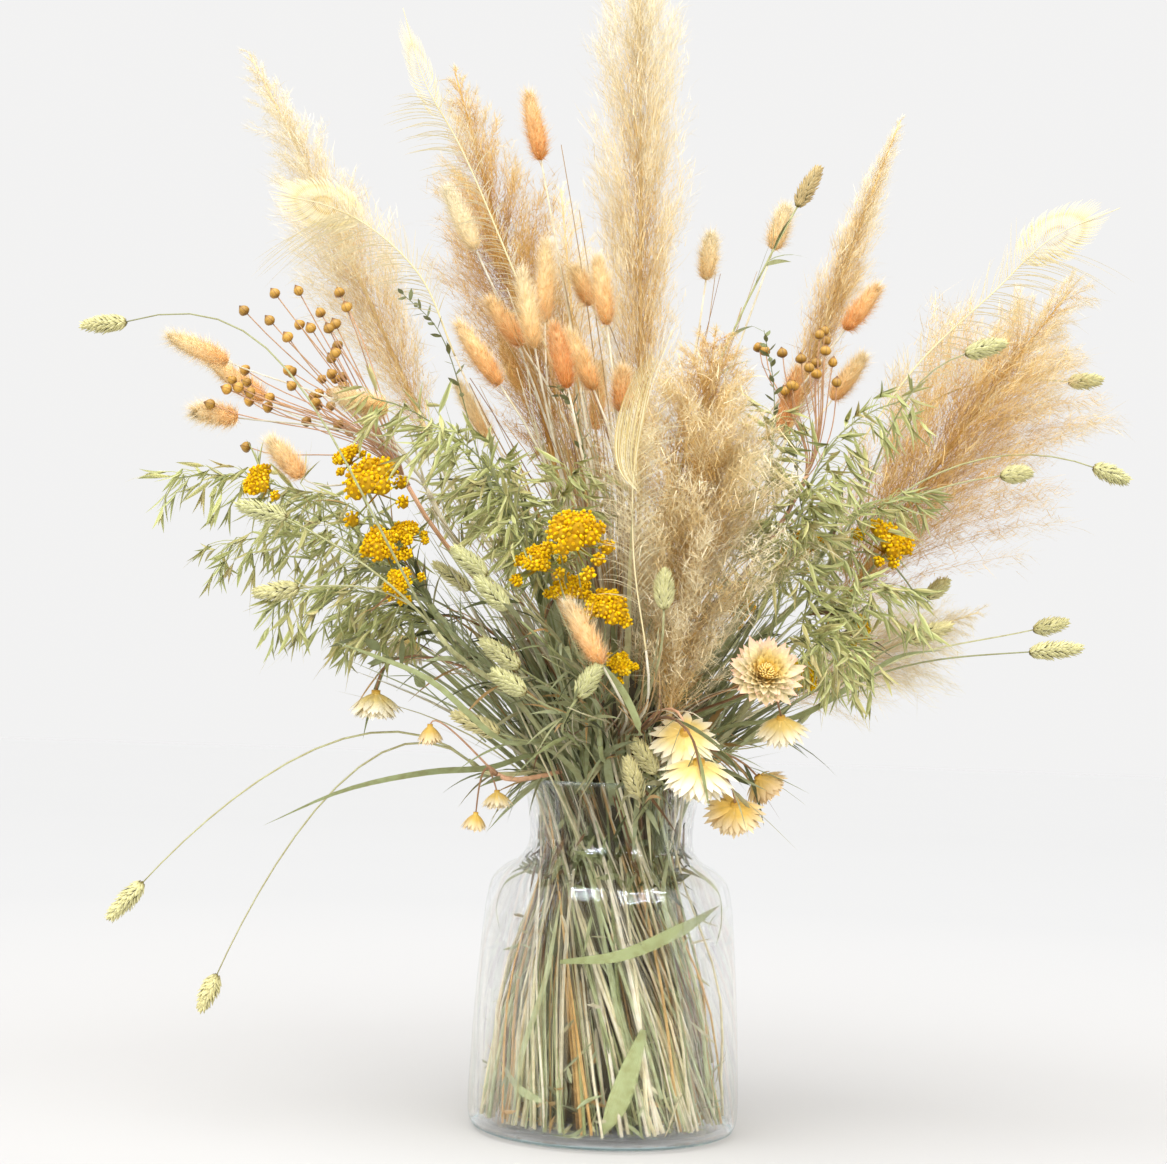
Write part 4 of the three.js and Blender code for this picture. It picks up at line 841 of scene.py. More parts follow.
class Paint:
    """A material's nodes; each call adds one and gives its output."""

    def __init__(self, name, roughness=0.7, sheen=0.0, specular=0.35):
        self.material = bpy.data.materials.new(name)
        self.material.use_nodes = True
        self.nodes = self.material.node_tree.nodes
        self.links = self.material.node_tree.links
        self.shader = self.nodes["Principled BSDF"]
        self.set("Roughness", roughness)
        self.set("Sheen Weight", sheen)
        self.set("Sheen Roughness", 0.45)
        self.set("Specular IOR Level", specular)
        look = self.add("ShaderNodeAttribute", attribute_name="look")
        parts = self.add("ShaderNodeSeparateXYZ", Vector=look.outputs["Vector"])
        self.along, self.chance, self.tone = parts.outputs
        self.part = self.add("ShaderNodeAttribute", attribute_name="part").outputs["Fac"]
        self.place = self.add("ShaderNodeTexCoord").outputs["Object"]

    def put(self, socket, value):
        """Links a socket to a node's output, or gives it a value of its own."""
        if isinstance(value, bpy.types.NodeSocket):
            self.links.new(value, socket)
        else:
            socket.default_value = value

    def set(self, socket, value):
        self.put(self.shader.inputs[socket], value)

    def add(self, kind, settings=(), **values):
        node = self.nodes.new(kind)
        for key, value in values.items():
            if hasattr(node, key):
                setattr(node, key, value)
            else:
                self.put(node.inputs[key], value)
        for key, value in settings:
            self.put(node.inputs[key], value)
        return node

    def ramp(self, value, *stops):
        node = self.add("ShaderNodeValToRGB", Fac=value)
        elements = node.color_ramp.elements
        while len(elements) < len(stops):
            elements.new(1)
        for element, (at, code) in zip(elements, stops):
            element.position = at
            element.color = colour(code)
        return node.outputs["Color"]

    def rise(self, value, low, high):
        """A mask from 0 at low to 1 at high."""
        return self.ramp(value, (low, "000000"), (high, "ffffff"))

    def fall(self, value, low, high):
        """A mask from 1 at low to 0 at high."""
        return self.ramp(value, (low, "ffffff"), (high, "000000"))

    def mix(self, share, a, b, blend="MIX"):
        node = self.add("ShaderNodeMix", data_type="RGBA", blend_type=blend)
        for socket, value in ((node.inputs[0], share), (node.inputs[6], a), (node.inputs[7], b)):
            self.put(socket, colour(value) if isinstance(value, str) else value)
        return node.outputs[2]

    def math(self, operation, a, b=0.0, clamp=False):
        return self.add("ShaderNodeMath", [(0, a), (1, b)], operation=operation, use_clamp=clamp).outputs[0]

    def times(self, a, b):
        return self.math("MULTIPLY", a, b)

    def noise(self, scale, detail):
        return self.add("ShaderNodeTexNoise", Vector=self.place, Scale=scale, Detail=detail).outputs["Fac"]

    def vary(self, base, amount, share=None):
        """Lightens and darkens a colour by each shape's own chance."""
        share = self.chance if share is None else share
        settings = [(0, share), (1, amount), (2, 1 - amount / 2)]
        bright = self.add("ShaderNodeMath", settings, operation="MULTIPLY_ADD")
        settings = [(0, base), (1, bright.outputs[0])]
        return self.add("ShaderNodeVectorMath", settings, operation="MULTIPLY").outputs[0]

    def finish(self, base, bump=None, distance=0.0003, strength=0.6):
        self.set("Base Color", base)
        if bump is not None:
            node = self.add("ShaderNodeBump", Height=bump, Strength=strength, Distance=distance)
            self.set("Normal", node.outputs["Normal"])
        return self.material


def stem_paint():
    """Sage, olive, straw, golden brown, pink and dark brown stalks with fine lengthwise grooves."""
    paint = Paint("dry_stems", roughness=0.62, sheen=0.1)
    tones = [(0, "bec69a"), (0.15, "9ca46e"), (0.3, "d4d0a0"), (0.45, "ece3c0"), (0.6, "f7f0da")]
    # The darkest tones serve real dark leaves, and also the core and the deep straws, which are painted shade
    tones += [(0.72, "d8ae6c"), (0.82, "eab894"), (0.91, "8a6642"), (0.96, "4c3a26"), (1, "545a2c")]
    base = paint.vary(paint.ramp(paint.tone, *tones), 0.5)
    patches = paint.ramp(paint.noise(160, 4), (0.35, "c8b48c"), (0.6, "ffffff"))
    base = paint.mix(0.45, base, patches, "MULTIPLY")
    grooves = paint.math("SINE", paint.times(paint.part, 28))
    return paint.finish(base, paint.math("ADD", grooves, paint.noise(900, 2)), 0.00025)


def fur_paint():
    """Bunny tail fur: cream to rust by tone, paler to the hair's end."""
    paint = Paint("bunny_tail_fur", roughness=0.8, sheen=0.15, specular=0.1)
    tones = [(0, "fcf3d8"), (0.25, "fce9be"), (0.5, "fddda2"), (0.75, "fac47c"), (1, "e89846")]
    base = paint.ramp(paint.tone, *tones)
    pale = paint.ramp(paint.tone, (0, "fff6de"), (0.5, "ffefc8"), (1, "fde0aa"))
    base = paint.mix(paint.math("POWER", paint.along, 1.2), base, pale)
    return paint.finish(paint.vary(base, 0.4), paint.noise(700, 3), 0.0004)


def canary_paint():
    """Canary grass: scales with pale edges, green veins beside the keel and a tan foot, round a dark core of
    painted shade.
    """
    paint = Paint("canary_scales", roughness=0.6, sheen=0.1)
    # Tone 1 is the dark olive of the head's core: painted shade between the scales
    base = paint.ramp(paint.tone, (0, "cfce8c"), (0.5, "d8ca8a"), (0.9, "c08f58"), (1, "4c4a24"))
    pale = paint.ramp(paint.tone, (0, "f0eec4"), (0.6, "efe4b4"), (0.9, "dcb888"), (1, "5c5a30"))
    edge = paint.math("ABSOLUTE", paint.part)
    base = paint.mix(paint.times(edge, 0.8), base, pale)
    vein = paint.ramp(edge, (0, "000000"), (0.3, "b0b0b0"), (0.5, "b0b0b0"), (0.75, "000000"))
    base = paint.mix(paint.times(vein, paint.math("SUBTRACT", 0.9, paint.tone)), base, "98a05c")
    base = paint.mix(paint.fall(paint.along, 0, 0.35), base, "7c7038")
    return paint.finish(paint.vary(base, 0.3), paint.noise(1400, 2), 0.0002)


def bract_paint():
    """Papery strawflower bracts: golden at the disc, cream yellow or white, the brighter ones coral tipped."""
    paint = Paint("strawflower_bracts", roughness=0.42, sheen=0.05, specular=0.5)
    skirt_tones = [(0, "f1de98"), (0.3, "edd07e"), (0.55, "e4b858"), (0.8, "fdf0c0"), (1, "fff5cc")]
    tip_tones = [(0, "fbf3da"), (0.3, "fcf3d8"), (0.55, "ecd09c"), (0.8, "f8d6b0"), (1, "f9c4ae")]
    skirt, tips = paint.ramp(paint.tone, *skirt_tones), paint.ramp(paint.tone, *tip_tones)
    coral = paint.rise(paint.along, 0.74, 1)
    pale = paint.rise(paint.along, 0.4, 0.9)
    reach = paint.mix(paint.rise(paint.tone, 0.7, 0.9), pale, coral)
    base = paint.mix(reach, skirt, tips)
    base = paint.mix(paint.ramp(paint.along, (0, "c0c0c0"), (0.5, "000000")), base, "f0c450")
    gold = paint.ramp(paint.along, (0, "dca83c"), (0.35, "f0c858"), (1, "fdeaa0"))
    base = paint.mix(paint.rise(paint.part, 0.4, 0.85), base, gold)
    return paint.finish(paint.vary(base, 0.25), paint.noise(900, 3), 0.0004)


def everlasting_paint():
    """Everlasting heads: bumpy ochre yellow beads, browner where each bead's surface dips: painted shade in the
    dents.
    """
    paint = Paint("everlasting_beads", roughness=0.8, specular=0.1)
    tones = [(0, "98a050"), (0.12, "d09c0c"), (0.4, "edc008"), (0.75, "f9d314"), (1, "fde04a")]
    base = paint.ramp(paint.tone, *tones)
    # Browner where a bead's surface sinks in: painted shade
    base = paint.mix(paint.fall(paint.along, 0.2, 0.6), base, "c8920c")
    return paint.finish(paint.vary(base, 0.4), paint.noise(1600, 3), 0.0006)


def oat_paint():
    """Oat husks: sage green with paler papery edges and lengthwise veins."""
    paint = Paint("oat_husks", roughness=0.55, sheen=0.08)
    base = paint.ramp(paint.tone, (0, "c0c678"), (0.35, "ced082"), (0.7, "e0d288"), (1, "f0da94"))
    pale = paint.ramp(paint.tone, (0, "e6e9ac"), (0.6, "efe6ac"), (1, "f5e6b6"))
    edge = paint.math("ABSOLUTE", paint.part)
    base = paint.mix(paint.math("POWER", edge, 1.5), base, pale)
    vein = paint.math("SINE", paint.times(paint.part, 16))
    base = paint.mix(paint.times(paint.math("ADD", vein, 0.4, clamp=True), 0.35), base, "88965a")
    return paint.finish(paint.vary(base, 0.35), vein, 0.0003)


def flax_paint():
    """Flax capsules: golden brown with darker seams and tips."""
    paint = Paint("flax_capsules", roughness=0.38, specular=0.5)
    tones = [(0, "805a22"), (0.25, "c09038"), (0.7, "c89a40"), (0.9, "84541a"), (1, "4e3014")]
    base = paint.ramp(paint.along, *tones)
    seam = paint.math("COSINE", paint.times(paint.part, 15.708))
    base = paint.mix(paint.times(paint.math("SUBTRACT", seam, 0.75, clamp=True), 2.0), base, "6e4626")
    return paint.finish(paint.vary(base, 0.5), paint.noise(1100, 3), 0.0002)


def feather_paint():
    """Bleached peacock barbs: cream, with faint tan and golden rings on the eye."""
    paint = Paint("bleached_feather", roughness=0.5, sheen=0.3, specular=0.4)
    rings = [(0, "e6d8a4"), (0.2, "e2d298"), (0.3, "c8ac64"), (0.38, "e2d4a4"), (0.6, "e6d9ae")]
    base = paint.ramp(paint.tone, *rings, (0.74, "d8c68c"), (0.84, "e2d5a6"), (1, "e8dcb6"))
    base = paint.mix(paint.rise(paint.part, 1.0, 1.5), base, "cdb07c")
    return paint.finish(paint.vary(base, 0.2), paint.noise(2500, 2), 0.0001)


def plume_paint():
    """Pampas hairs: golden to brown at the foot of each silky hair, cream to tan at its end, in patches."""
    paint = Paint("pampas_hair", roughness=0.6, sheen=0.15, specular=0.25)
    foot = paint.ramp(paint.tone, (0, "f5e8c4"), (0.35, "f0d8a0"), (0.65, "e6bf70"), (1, "bf8d42"))
    end = paint.ramp(paint.tone, (0, "fbf4dc"), (0.35, "faeabc"), (0.65, "f6d78e"), (1, "e4b85e"))
    base = paint.mix(paint.math("POWER", paint.along, 0.8), foot, end)
    patches = paint.ramp(paint.noise(150, 4), (0.4, "d6b47a"), (0.56, "ffffff"))
    base = paint.mix(paint.times(paint.tone, 0.42), base, patches, "MULTIPLY")
    return paint.finish(paint.vary(base, 0.22))


def glass_paint():
    """Clear glass, pale teal where its wall is seen edge on, round its heel and along its rim."""
    paint = Paint("clear_glass", roughness=0.02, specular=0.5)
    paint.set("IOR", 1.4)
    facing = paint.add("ShaderNodeLayerWeight", Blend=0.5).outputs["Facing"]
    edge = paint.ramp(facing, (0.68, "000000"), (0.88, "646464"), (1, "ffffff"))
    x, y, z = paint.add("ShaderNodeSeparateXYZ", Vector=paint.place).outputs
    squares = paint.math("ADD", paint.math("POWER", x, 2.0), paint.math("POWER", y, 2.0))
    radius = paint.times(paint.math("SQRT", squares), 10)
    height = paint.times(z, 4)
    heel = paint.times(paint.fall(height, 0.014, 0.022), paint.rise(radius, 0.87, 0.91))
    rim = paint.rise(height, 0.965, 0.98)
    floor = paint.times(paint.fall(height, 0.03, 0.036), paint.fall(radius, 0.84, 0.87))
    edge = paint.times(edge, paint.math("SUBTRACT", 1.0, floor))
    ends = paint.math("ADD", paint.times(heel, 0.85), paint.times(rim, 0.5))
    edge = paint.math("ADD", edge, ends, clamp=True)
    clear = paint.ramp(paint.noise(6, 2), (0.3, "f8fdfc"), (0.7, "fbfefd"))
    paint.set("Transmission Weight", paint.math("SUBTRACT", 1.0, paint.times(edge, 0.45)))
    paint.set("Alpha", paint.math("ADD", paint.times(edge, 0.75), 0.2))
    return paint.finish(paint.mix(edge, clear, "74bcc6"), paint.noise(9, 2), 0.0006, 0.25)


# Heads


def egg(s, peak=0.8, fullness=0.45):
    """A head's radius from foot to tip, as a share of its widest."""
    return np.sin(np.pi * np.clip(s, 0, 1) ** peak).clip(0) ** fullness


def core_line(head, length, rows):
    """The line through a head's core, and the shares along it."""
    s = shares(rows)
    return (head["foot"] + head["axis"] * s[:, None] * length)[None], s


def add_bunny_tail(skin, head, rng):
    """A soft blunt egg of down with longer awns, deeper in colour at its foot and cream at its tip."""
    foot, axis, tone = head["foot"], head["axis"], head["tone"]
    length = np.linalg.norm(head["tip"] - foot) * 0.93
    lines, s = core_line(head, length, 14)
    deep = np.clip(tone + mix(0.3, 0.1, s), 0, 1)
    add_tubes(skin, lines, 0.4 + FUR_CORE * egg(s)[None], 12, 0.3, deep[None])
    for count, low, high, scatter, rows, half in FUR:
        t = rng.random(count)
        out = around(axis, rng.uniform(0, TURN, count))
        roots = foot + axis * (t * length)[:, None] + out * (egg(t) * FUR_CORE * 0.9)[:, None]
        ways = out * mix(1.0, 0.6, t)[:, None] + axis * mix(0.35, 0.95, t)[:, None]
        ways = unit(ways + rng.normal(0, scatter, (count, 3)))
        lengths = rng.uniform(low, high, count) * mix(0.9, 0.85, t)
        lines = arcs(roots, ways, lengths, axis * 0.25, rows)
        shade = np.clip(tone + mix(0.24, -0.2, t) + rng.normal(0, 0.13, count), 0, 1)
        widths = half * rng.uniform(0.7, 1.3, count)[:, None] * np.array([1, 0.8, 0])[:rows]
        across = square_to(ways + rng.normal(0, 0.4, ways.shape))
        add_blades(skin, lines, across, widths, rng.random(count), shade)


def add_canary_head(skin, head, rng):
    """An egg of narrow keeled scales in steep rows, their tips standing off a dark olive core: painted shade
    between the scales.
    """
    foot, axis = head["foot"], head["axis"]
    length = np.linalg.norm(head["tip"] - foot)
    lines, s = core_line(head, length * 0.85, 10)
    # The core, at tone 1: painted shade that shows between the scales
    add_tubes(skin, lines, 0.8 + CANARY_CORE * 0.85 * egg(s)[None], 8, 0.0, 1.0, part=0.4)
    k = np.arange(CANARY_SCALES)
    t = k / CANARY_SCALES
    out = around(axis, k * GOLDEN_ANGLE + rng.normal(0, 0.12, CANARY_SCALES))
    roots = foot + axis * (t * length * 0.82)[:, None] + out * (egg(t * 0.94 + 0.03) * CANARY_CORE)[:, None]
    ways = unit(out * mix(0.85, 0.3, t)[:, None] + axis + rng.normal(0, 0.08, (CANARY_SCALES, 3)))
    lengths = rng.uniform(5.6, 7.6, CANARY_SCALES) * mix(0.9, 1, egg(t))
    lines = arcs(roots, ways, lengths, -out * 0.1, 5)
    widths = 1.35 * swell_along(5, 0.6, 0.35) * rng.uniform(0.85, 1.15, CANARY_SCALES)[:, None]
    chance = rng.random(CANARY_SCALES)
    add_blades(skin, lines, unit(np.cross(ways, out)), widths, chance, head["tone"], lift=-out * 0.9)


def add_strawflower(skin, head, rng):
    """Rows of papery bracts round a bumpy disc, with a cup of short ones at the foot."""
    for row in range(-2, BRACT_ROWS):
        add_bracts(skin, head, row, rng)
    add_disc(skin, head, rng)


def add_bracts(skin, head, row, rng):
    """One row of bracts: rows below 0 are the cup's, and later rows stand up and are shorter."""
    foot, axis, radius, close = head["foot"], head["axis"], head["radius"], 1 - head["open"]
    q = max(0, row) / (BRACT_ROWS - 1)
    count = 12 if row < 0 else 17 - row // 2
    short = {-2: 0.42, -1: 0.66}.get(row, mix(1, 0.42, q))
    out = around(axis, (np.arange(count) + 0.5 * (row % 2) + rng.normal(0, 0.12, count)) * TURN / count)
    rise = mix(0.06, 1.15, q) + close * 0.75 + rng.normal(0, 0.06, count) + (0.1 if row < 0 else 0)
    ways = out * np.cos(rise)[:, None] + axis * np.sin(rise)[:, None]
    high = radius * (0.1 + 0.26 * q + 0.03 * row / BRACT_ROWS)
    roots = foot + axis * high + out * radius * mix(0.1, 0.2, q)
    lengths = radius * short * rng.uniform(0.9, 1.1, count)
    curl = axis * mix(0.3, 0.05, q) - out * mix(0.05, 0.25, close)
    lines = arcs(roots, unit(ways), lengths, curl, 6)
    across = unit(np.cross(axis, out))
    widths = radius * 0.155 * (1 - 0.35 * q) * swell_along(6, 0.45, 0.55)
    lift = np.cross(across, unit(ways)) * -0.45
    add_blades(skin, lines, across, widths, rng.random(count), head["tone"], np.full(count, q), lift)


def add_disc(skin, head, rng):
    """The bumpy disc in the middle: short florets in a spiral over a dome."""
    foot, axis, radius, close = head["foot"], head["axis"], head["radius"], 1 - head["open"]
    share = np.sqrt((np.arange(DISC_FLORETS) + 0.5) / DISC_FLORETS)
    out = around(axis, np.arange(DISC_FLORETS) * GOLDEN_ANGLE)
    dome = foot + axis * radius * (0.36 + close * 0.15) + axis * (1 - share**2)[:, None] * radius * 0.14
    centres = dome + out * (share * radius * 0.27)[:, None]
    middle = np.stack([foot, foot + axis * radius * 0.42])[None]
    add_tubes(skin, middle, radius * 0.15, 12, 0.2, 0.5, part=1.0)
    lines = arcs(centres, unit(axis + out * 0.3), np.full(DISC_FLORETS, radius * 0.12), out * 0.1, 3)
    thick = radius * 0.035 * np.array([1, 0.9, 0.5])
    add_tubes(skin, lines, thick, 5, rng.random(DISC_FLORETS), 0.6, part=1.0)


def add_everlasting(skin, head, rng):
    """A flattened dome of tiny bead heads in lobes, with a few loose lobes round it, on green pedicels."""
    foot, axis, radius = head["foot"], head["axis"], head["radius"]
    lobes = int(5 + radius * 0.55)
    share = np.sqrt((np.arange(lobes) + 0.5) / lobes)
    out = around(axis, np.arange(lobes) * GOLDEN_ANGLE + rng.normal(0, 0.2, lobes))
    middles = foot + axis * (radius * (1.0 - 0.35 * share**2) * rng.uniform(0.82, 1.15, lobes))[:, None]
    middles = middles + out * (share * radius * rng.uniform(0.85, 1.05, lobes))[:, None]
    wide = radius * rng.uniform(0.28, 0.42, lobes) + 1
    cosine = 1 - (np.arange(LOBE_BEADS) + 0.5) / LOBE_BEADS * 1.3
    ways = around(axis, np.arange(LOBE_BEADS) * GOLDEN_ANGLE) * np.sqrt(1 - cosine**2)[:, None]
    ways = ways + axis * cosine[:, None]
    reach = wide[:, None, None] * rng.uniform(0.85, 1.05, (lobes, LOBE_BEADS, 1))
    centres = middles[:, None] + ways[None] * reach
    count = lobes * LOBE_BEADS
    beads = rng.uniform(1.0, 1.5, count) * (0.75 + radius / 50)
    tone = np.repeat(rng.uniform(0.35, 0.8, lobes), LOBE_BEADS) + rng.normal(0, 0.14, count)
    tone = np.clip(tone, 0.12, 1)
    add_lobes(skin, middles, wide, centres, beads, tone, 1, rng)
    turn = around(axis, rng.uniform(0, TURN, LOOSE_LOBES))
    rise = axis * (radius * rng.uniform(-0.7, 0.5, LOOSE_LOBES))[:, None]
    spots = foot + turn * (radius * rng.uniform(1.2, 1.7, LOOSE_LOBES))[:, None] + rise
    small = radius * rng.uniform(0.2, 0.3, LOOSE_LOBES) + 1
    centres = spots[:, None] + ways[None, :LOOSE_BEADS] * small[:, None, None]
    count = LOOSE_LOBES * LOOSE_BEADS
    beads = rng.uniform(1.0, 1.5, count) * (0.7 + radius / 50)
    tone = rng.uniform(0.3, 0.9, count)
    add_lobes(skin, spots, small, centres, beads, tone, 0, rng)
    middles = np.concatenate([middles, spots])
    lines = np.stack([np.broadcast_to(foot, middles.shape), mix(foot, middles, 0.5), middles], 1)
    add_tubes(skin, lines, 0.6, 5, 0.5, 0.0, part=0.0)


def add_lobes(skin, middles, wide, centres, beads, tone, level, rng):
    """Bead heads round the darker balls that fill their lobes: painted shade that shows between the beads."""
    add_balls(skin, centres.reshape(-1, 3), beads, 0.1, rng, rng.random(len(beads)), tone, level)
    # The filling balls take a darker ochre tone: painted shade between the beads
    dark = np.full(len(middles), 0.1)
    add_balls(skin, middles, wide * 0.82, 0.06, rng, dark * 2, dark, level + 1)


def add_oats(skin, control, head, rng):
    """A nodding panicle: whorls of hair stalks, each with a spikelet of two long husks in a V and two short."""
    t = np.repeat(np.linspace(0.3, 0.985, OAT_WHORLS), SPIKELETS)
    t = np.clip(t + rng.uniform(-0.035, 0.035, OAT_WHORLS * SPIKELETS), 0, 1)
    count = len(t)
    roots, forward = bezier(control, t), bezier_way(control, t)
    out = around(forward, rng.uniform(0, TURN, count))
    reach = rng.uniform(7, 33, count) * mix(1.15, 0.65, t)
    ways = unit(out + forward * 0.9 + head["out"] * 0.5)
    hang = arcs(roots, ways, reach, -UP * 0.45 + out * 0.15, 5)
    add_tubes(skin, hang, 0.26, 3, 0.5, 0.35, part=0.0)
    feet = hang[:, -1]
    down = unit(unit(hang[:, -1] - hang[:, -2]) * 0.8 - UP * 0.42 + rng.normal(0, 0.4, (count, 3)))
    flat = unit(np.cross(down, rng.normal(0, 1, (count, 3))))
    across = np.cross(down, flat)
    lengths = rng.uniform(18, 26, count)
    tone = np.clip(rng.normal(0.3, 0.25, count), 0, 1)
    open_up = rng.uniform(0.1, 0.33, count)[:, None]
    for hand, share, wide, paler in HUSKS:
        ways = unit(down + flat * hand * open_up)
        lines = arcs(feet, ways, lengths * share, flat * hand * 0.08, 5)
        widths = wide * swell_along(5, 0.25, 0.35) * rng.uniform(0.8, 1.15, count)[:, None]
        shade = np.clip(tone + paler + rng.normal(0, 0.05, count), 0, 1)
        add_blades(skin, lines, across, widths, rng.random(count), shade, lift=-flat * hand * 0.8)
    awned = rng.random(count) < 0.4
    lines = arcs(feet[awned], down[awned], lengths[awned] * 1.45, flat[awned] * 0.2, 5)
    add_blades(skin, lines, across[awned], 0.16, 0.3, 0.8)


def flax_stalk(controls, k, rng):
    """The way of a capsule's stalk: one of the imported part's, or one of them moved aside."""
    control = [np.asarray(point) for point in controls[k % len(controls)]]
    if k >= len(controls):
        shift = rng.normal(0, 1, 3) * 15
        middle = mix(control[0], control[3], 0.5)
        control = [control[0], control[1] + shift * 0.3, control[2] + shift * 0.8, control[3] + shift]
        control[3] = control[3] + (middle - control[3]) * rng.uniform(-0.05, 0.3)
    return bezier(control, shares(10))


def add_flax(skin, controls, count, rng):
    """Round capsules with five seams and a small crown of sepals. Gives the stalks that carry them."""
    stalks = np.array([flax_stalk(controls, k, rng) for k in range(count)])
    feet, axes = stalks[:, -1], unit(stalks[:, -1] - stalks[:, -3])
    sides = 10
    seam = 1 - 0.09 * (np.arange(sides) % 2)
    size = rng.uniform(0.85, 1.1, count)
    lines = feet[:, None] + axes[:, None] * (shares(len(CAPSULE_PROFILE))[:, None] * CAPSULE_LENGTH)
    radii = np.array(CAPSULE_PROFILE)[:, None] * seam * (FLAX_RADIUS * size)[:, None, None]
    add_tubes(skin, lines, radii, sides, rng.random(count), 0.5)
    for k in range(5):
        out = around(axes, np.full(count, k * TURN / 5))
        lines = arcs(feet + out * 0.8, unit(out * 1.6 + axes * 0.7), np.full(count, 3.8), axes * 0.75, 4)
        add_blades(skin, lines, unit(np.cross(axes, out)), 0.9 * np.array([0.8, 1, 0.7, 0]), 0.5, 0.5)
    return stalks


# Plumes and feathers


def envelope(t, blunt):
    """A plume's half width along its line, as a share of its widest: full low down, drawn out to its tip."""
    rise = np.minimum(1, ((t + 0.06) / 0.36).clip(0) ** 0.6)
    return rise * np.minimum(1, ((1 - t) / mix(0.66, 0.36, blunt)).clip(0) ** mix(0.8, 0.5, blunt))


def add_plume(skin, line, spread, tone, fuzz, breadth, blunt, hairs, rng):
    """Branchlets that lean out from the plume's line, each bristling with fine silky hairs."""
    branches = int(80 + spread * 1.6)
    t = 0.97 * (1 - (1 - (np.arange(branches) + rng.random(branches)) / branches) ** 0.8)
    at, forward = bezier(line, t), bezier_way(line, t)
    out = around(forward, np.arange(branches) * GOLDEN_ANGLE + rng.normal(0, 0.3, branches))
    length = np.linalg.norm(line[2] - line[0])
    ahead = np.clip(t + envelope(t, blunt) * spread * mix(1.8, 0.8, fuzz) / length, 0, 0.97)
    body = envelope(ahead, blunt)
    stray = np.where(rng.random(branches) < 0.08, 1.35, 1)
    wide = (spread * breadth * body * stray * rng.uniform(0.02, 1, branches) ** 0.28)[:, None, None]
    left = (length * (1 - t))[:, None, None]
    lean = np.minimum(wide * 0.5 + spread * mix(2.2, 1.1, fuzz) * body[:, None, None], left * 0.95 + 2)
    s = shares(BRANCHLET_STEPS + 1)[:, None]
    paths = at[:, None] + forward[:, None] * lean * s
    paths = paths + out[:, None] * wide * s**1.15 - UP * wide * 0.25 * s**2
    own = rng.random(branches)
    low_down = np.clip(tone + (0.6 - fuzz**3) * (0.4 - t), 0, 1)
    add_tubes(skin, paths[:, ::2], 0.28 * taper(5, 0.3), 3, own, low_down)
    shaft = bezier(line, np.linspace(0, 0.97, 20))[None]
    add_tubes(skin, shaft, mix(2.0, 0.6, shares(20))[None], 6, 0.5, min(1, tone + 0.15))
    for many, rows, reach in ((LONG_HAIRS, 3, (12, 24)), (hairs, 2, (6, 14))):
        add_hairs(skin, paths, forward, body, low_down + (own - 0.5) * 0.2, fuzz, many, rows, reach, rng)


def add_hairs(skin, paths, forward, body, shade, fuzz, many, rows, reach, rng):
    """Hairs along the branchlets of a plume, most of them on the longest."""
    reach_of = np.linalg.norm(paths[:, -1] - paths[:, 0], axis=-1)
    owner = np.repeat(np.arange(len(paths)), many)
    owner = owner[rng.random(len(owner)) < (reach_of / reach_of.max())[owner] ** 0.9]
    count = len(owner)
    u = rng.uniform(0.02, 1, count) ** 0.6
    k = np.minimum((u * BRANCHLET_STEPS).astype(int), BRANCHLET_STEPS - 1)
    low, high = paths[owner, k], paths[owner, k + 1]
    roots = mix(low, high, (u * BRANCHLET_STEPS - k)[:, None])
    roots = roots + rng.normal(0, 4.4, (count, 3)) * body[owner, None]
    ways = mix(unit(high - low), forward[owner], 0.3 * (1 - fuzz))
    ways = unit(ways + rng.normal(0, mix(0.2, 0.62, fuzz), (count, 3)) - UP * 0.05)
    lengths = rng.uniform(*reach, count) * mix(1.25, 1.1, fuzz) * np.clip(0.35 + body * 0.75, 0, 1)[owner]
    lines = arcs(roots, ways, lengths, rng.normal(0, 0.14, (count, 3)) - UP * 0.16, rows)
    widths = mix(0.21, 0.36, fuzz) * rng.uniform(0.6, 1.2, count)[:, None] * np.array([0.8, 1, 0])[-rows:]
    # Hairs near the foot of a branchlet are darker and those at its end paler: partly the hairs' own colour,
    # partly painted shade inside the plume
    tone = np.clip(shade[owner] + rng.normal(0, 0.08, count) + 0.8 * (0.62 - u), 0, 1)
    across = square_to(ways + rng.normal(0, 0.5, ways.shape))
    add_blades(skin, lines, across, widths, rng.random(count), tone)


def add_feather(skin, feather, rng):
    """A bleached peacock feather: a shaft, long loose barbs that lean forward, and a soft eye with rings."""
    shaft, full = feather["shaft"], feather["full"]
    s = shares(60)
    shaft_tone = np.interp(s, [0, 0.45, 0.7], [0.36, 0.44, 0.9])
    thick = FEATHER_SHAFT * mix(0.35, 0.65, full)
    add_tubes(skin, spline(shaft, s)[None], mix(thick, 0.3, s)[None], 6, 0.6, shaft_tone[None])
    for hand in (-1, 1):
        add_barbs(skin, feather, hand, rng)
        add_eye(skin, feather, hand, rng)


